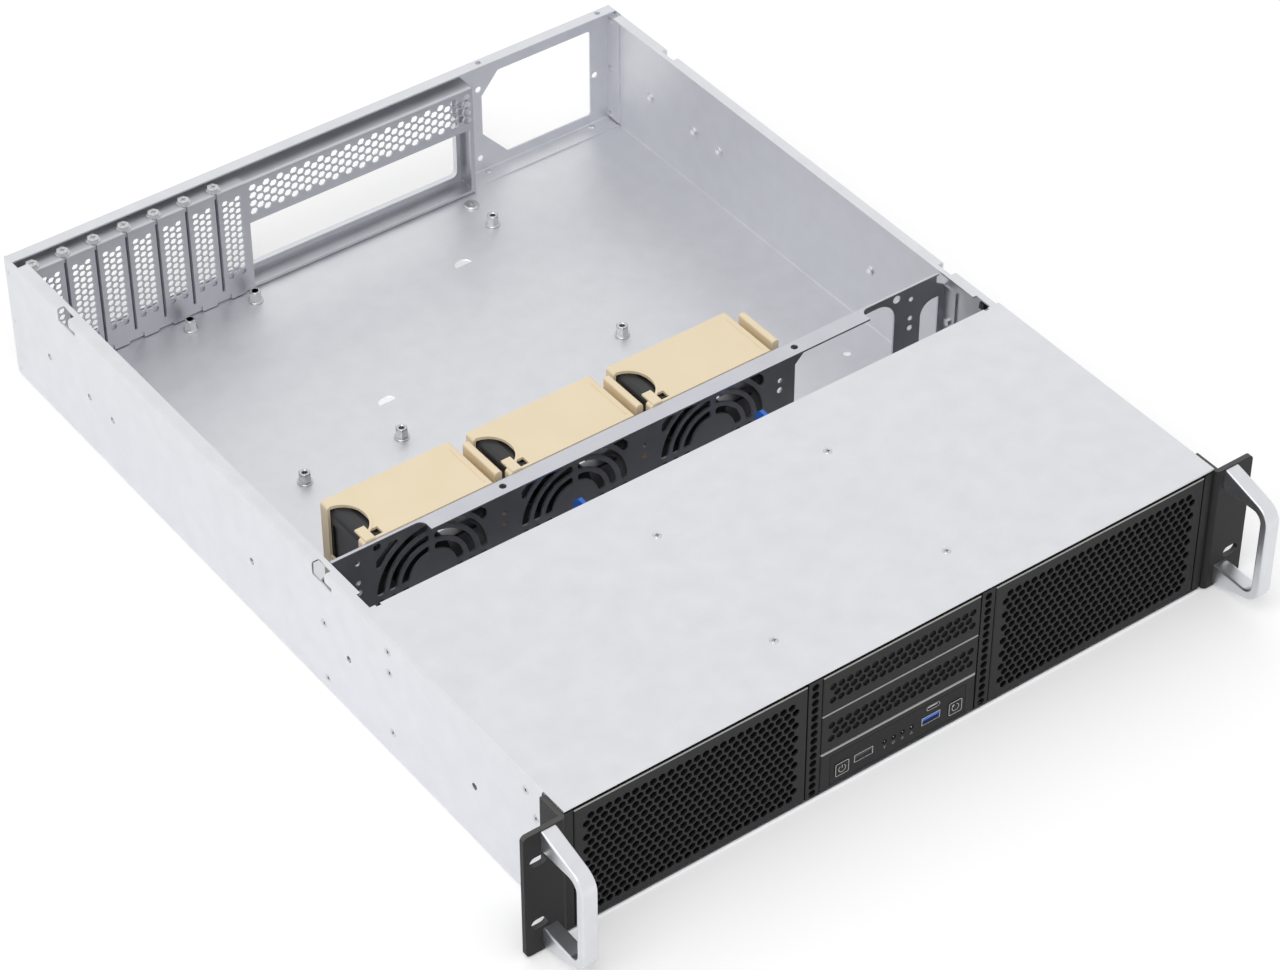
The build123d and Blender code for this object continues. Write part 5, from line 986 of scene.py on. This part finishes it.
# A low rim runs round the finger hole of each holder, and a rib along its far side
def holderTrims():
    steps, sweep = holderTrim["steps"], holderTrim["sweep"]
    halfX, halfY = holderTrim["holeHalf"]
    for number in (1, 2, 3):
        x0, x1, front, back, z0, z1 = nodeBox(f"fan_holder_{number}")
        foot = z1 - holderTrim["seat"] - holderTrim["embed"]
        rim = []
        for wide, turns in ((holderTrim["rim"], range(steps + 1)), (0.0, range(steps, -1, -1))):
            for k in turns:
                turn = math.radians(2 * sweep * k / steps - sweep)
                rim.append((x0 + (halfX + wide) * math.cos(turn),
                            front + holderTrim["holeY"] + (halfY + wide) * math.sin(turn)))
        left = x0 + holderTrim["outside"] + holderTrim["ribX"]
        rib = rectangle(left, left + holderTrim["ribWide"], front + holderTrim["ribFront"],
                        back - holderTrim["ribBack"])
        bm = bmesh.new()
        for outline in (rim, rib):
            verts = [bm.verts.new(place(x, y, foot)) for x, y in outline]
            loop = [bm.edges.new((verts[k - 1], verts[k])) for k in range(len(verts))]
            extrude(bm, fill(bm, loop, (0, 0, 1)), (0, 0, holderTrim["high"] + holderTrim["embed"]))
        finishPiece(f"holderTrim{number}", bm, None, slot="cream_plastic")


holderTrims()

lidClip = {"depth": 3.6, "width": 4.4, "drop": 5.2,
           "outline": ((0, 0), (4.4, 0), (4.4, 4.9), (3.0, 4.9), (3.0, 2.9), (2.0, 2.9), (2.0, 4.0), (0.6, 4.0))}


def lidClips():
    for side, sign in (("left", -1), ("right", 1)):
        x0, x1, front, back, z0, z1 = nodeBox(f"{side}_lid_clip")
        outside = x1 if sign > 0 else -x0
        bm = bmesh.new()
        outline = [(sign * (outside - lidClip["width"] + x), z1 - lidClip["drop"] + z)
                   for x, z in lidClip["outline"]]
        extrude(bm, fill(bm, outlineLoop(bm, outline, front)), (0, lidClip["depth"], 0))
        finishPiece(f"{side}LidClip", bm, f"{side}_lid_clip")


lidClips()
print("screws and clips set")

camera = {"azimuth": -36.383, "elevation": 41.112, "roll": -0.089, "target": (-11.374, 215.735, 44.0),
          "distance": 2163.1, "lens": 110.27}
backdrop = {"half": 12.0, "drop": 0.0003, "color": "#f8f8f8", "glow": 0.13}
light = {"sky": 0.82, "seenSky": 1.0, "softbox": {"place": (-1500, -900, 2600), "size": 1.9, "watts": 26}}


def makeCamera():
    azimuth, elevation = math.radians(camera["azimuth"]), math.radians(camera["elevation"])
    sight = Vector((-math.sin(azimuth) * math.cos(elevation), math.cos(azimuth) * math.cos(elevation),
                    -math.sin(elevation)))
    data = bpy.data.cameras.new("camera")
    data.lens = camera["lens"]
    data.clip_end = 100
    holder = bpy.data.objects.new("camera", data)
    turn = sight.to_track_quat("-Z", "Y").to_matrix().to_4x4()
    roll = Matrix.Rotation(math.radians(camera["roll"]), 4, "Z")
    stand = place(*camera["target"]) - sight * camera["distance"] * mm
    holder.matrix_world = Matrix.Translation(stand) @ turn @ roll
    bpy.context.scene.collection.objects.link(holder)
    bpy.context.scene.camera = holder


def seenRays(tree):
    rays = addNode(tree, "ShaderNodeLightPath")
    some = addNode(tree, "ShaderNodeMath", {"operation": "MAXIMUM"},
                   {0: (rays, "Is Camera Ray"), 1: (rays, "Is Glossy Ray")})
    return addNode(tree, "ShaderNodeMath", {"operation": "MAXIMUM"},
                   {0: (some, 0), 1: (rays, "Is Transmission Ray")})


def makeFloor():
    bm = bmesh.new()
    bmesh.ops.create_grid(bm, x_segments=1, y_segments=1, size=backdrop["half"],
                          matrix=Matrix.Translation((0, 0, -backdrop["drop"])))
    mesh = bpy.data.meshes.new("floor")
    bm.to_mesh(mesh)
    bm.free()
    material, tree = newMaterial("paleStudioFloor")
    glow = addNode(tree, "ShaderNodeMath", {"operation": "MULTIPLY", 1: backdrop["glow"]},
                   {0: (seenRays(tree), 0)})
    shader = addNode(tree, "ShaderNodeBsdfPrincipled",
                     {"Base Color": toLinear(backdrop["color"]), "Roughness": 0.9, "Specular IOR Level": 0.0,
                      "Emission Color": (1, 1, 1, 1)}, {"Emission Strength": (glow, 0)})
    finishTree(tree, shader)
    mesh.materials.append(material)
    floor = bpy.data.objects.new("floor", mesh)
    bpy.context.scene.collection.objects.link(floor)


def makeLight():
    world = bpy.data.worlds.new("studio")
    bpy.context.scene.world = world
    world.use_nodes = True
    tree = world.node_tree
    tree.nodes.clear()
    level = addNode(tree, "ShaderNodeMapRange", {"To Min": light["sky"], "To Max": light["seenSky"]},
                    {"Value": (seenRays(tree), 0)})
    sky = addNode(tree, "ShaderNodeBackground", {"Color": (1, 1, 1, 1)}, {"Strength": (level, "Result")})
    addNode(tree, "ShaderNodeOutputWorld", links={"Surface": (sky, "Background")})
    box = light["softbox"]
    data = bpy.data.lights.new("softbox", "AREA")
    data.energy = box["watts"]
    data.size = box["size"]
    lamp = bpy.data.objects.new("softbox", data)
    spot = Vector(box["place"]) * mm
    lamp.matrix_world = Matrix.Translation(spot) @ (-spot).to_track_quat("-Z", "Y").to_matrix().to_4x4()
    bpy.context.scene.collection.objects.link(lamp)


makeCamera()
makeFloor()
makeLight()
bpy.context.scene.view_settings.view_transform = "Standard"
print("camera, floor and light set")
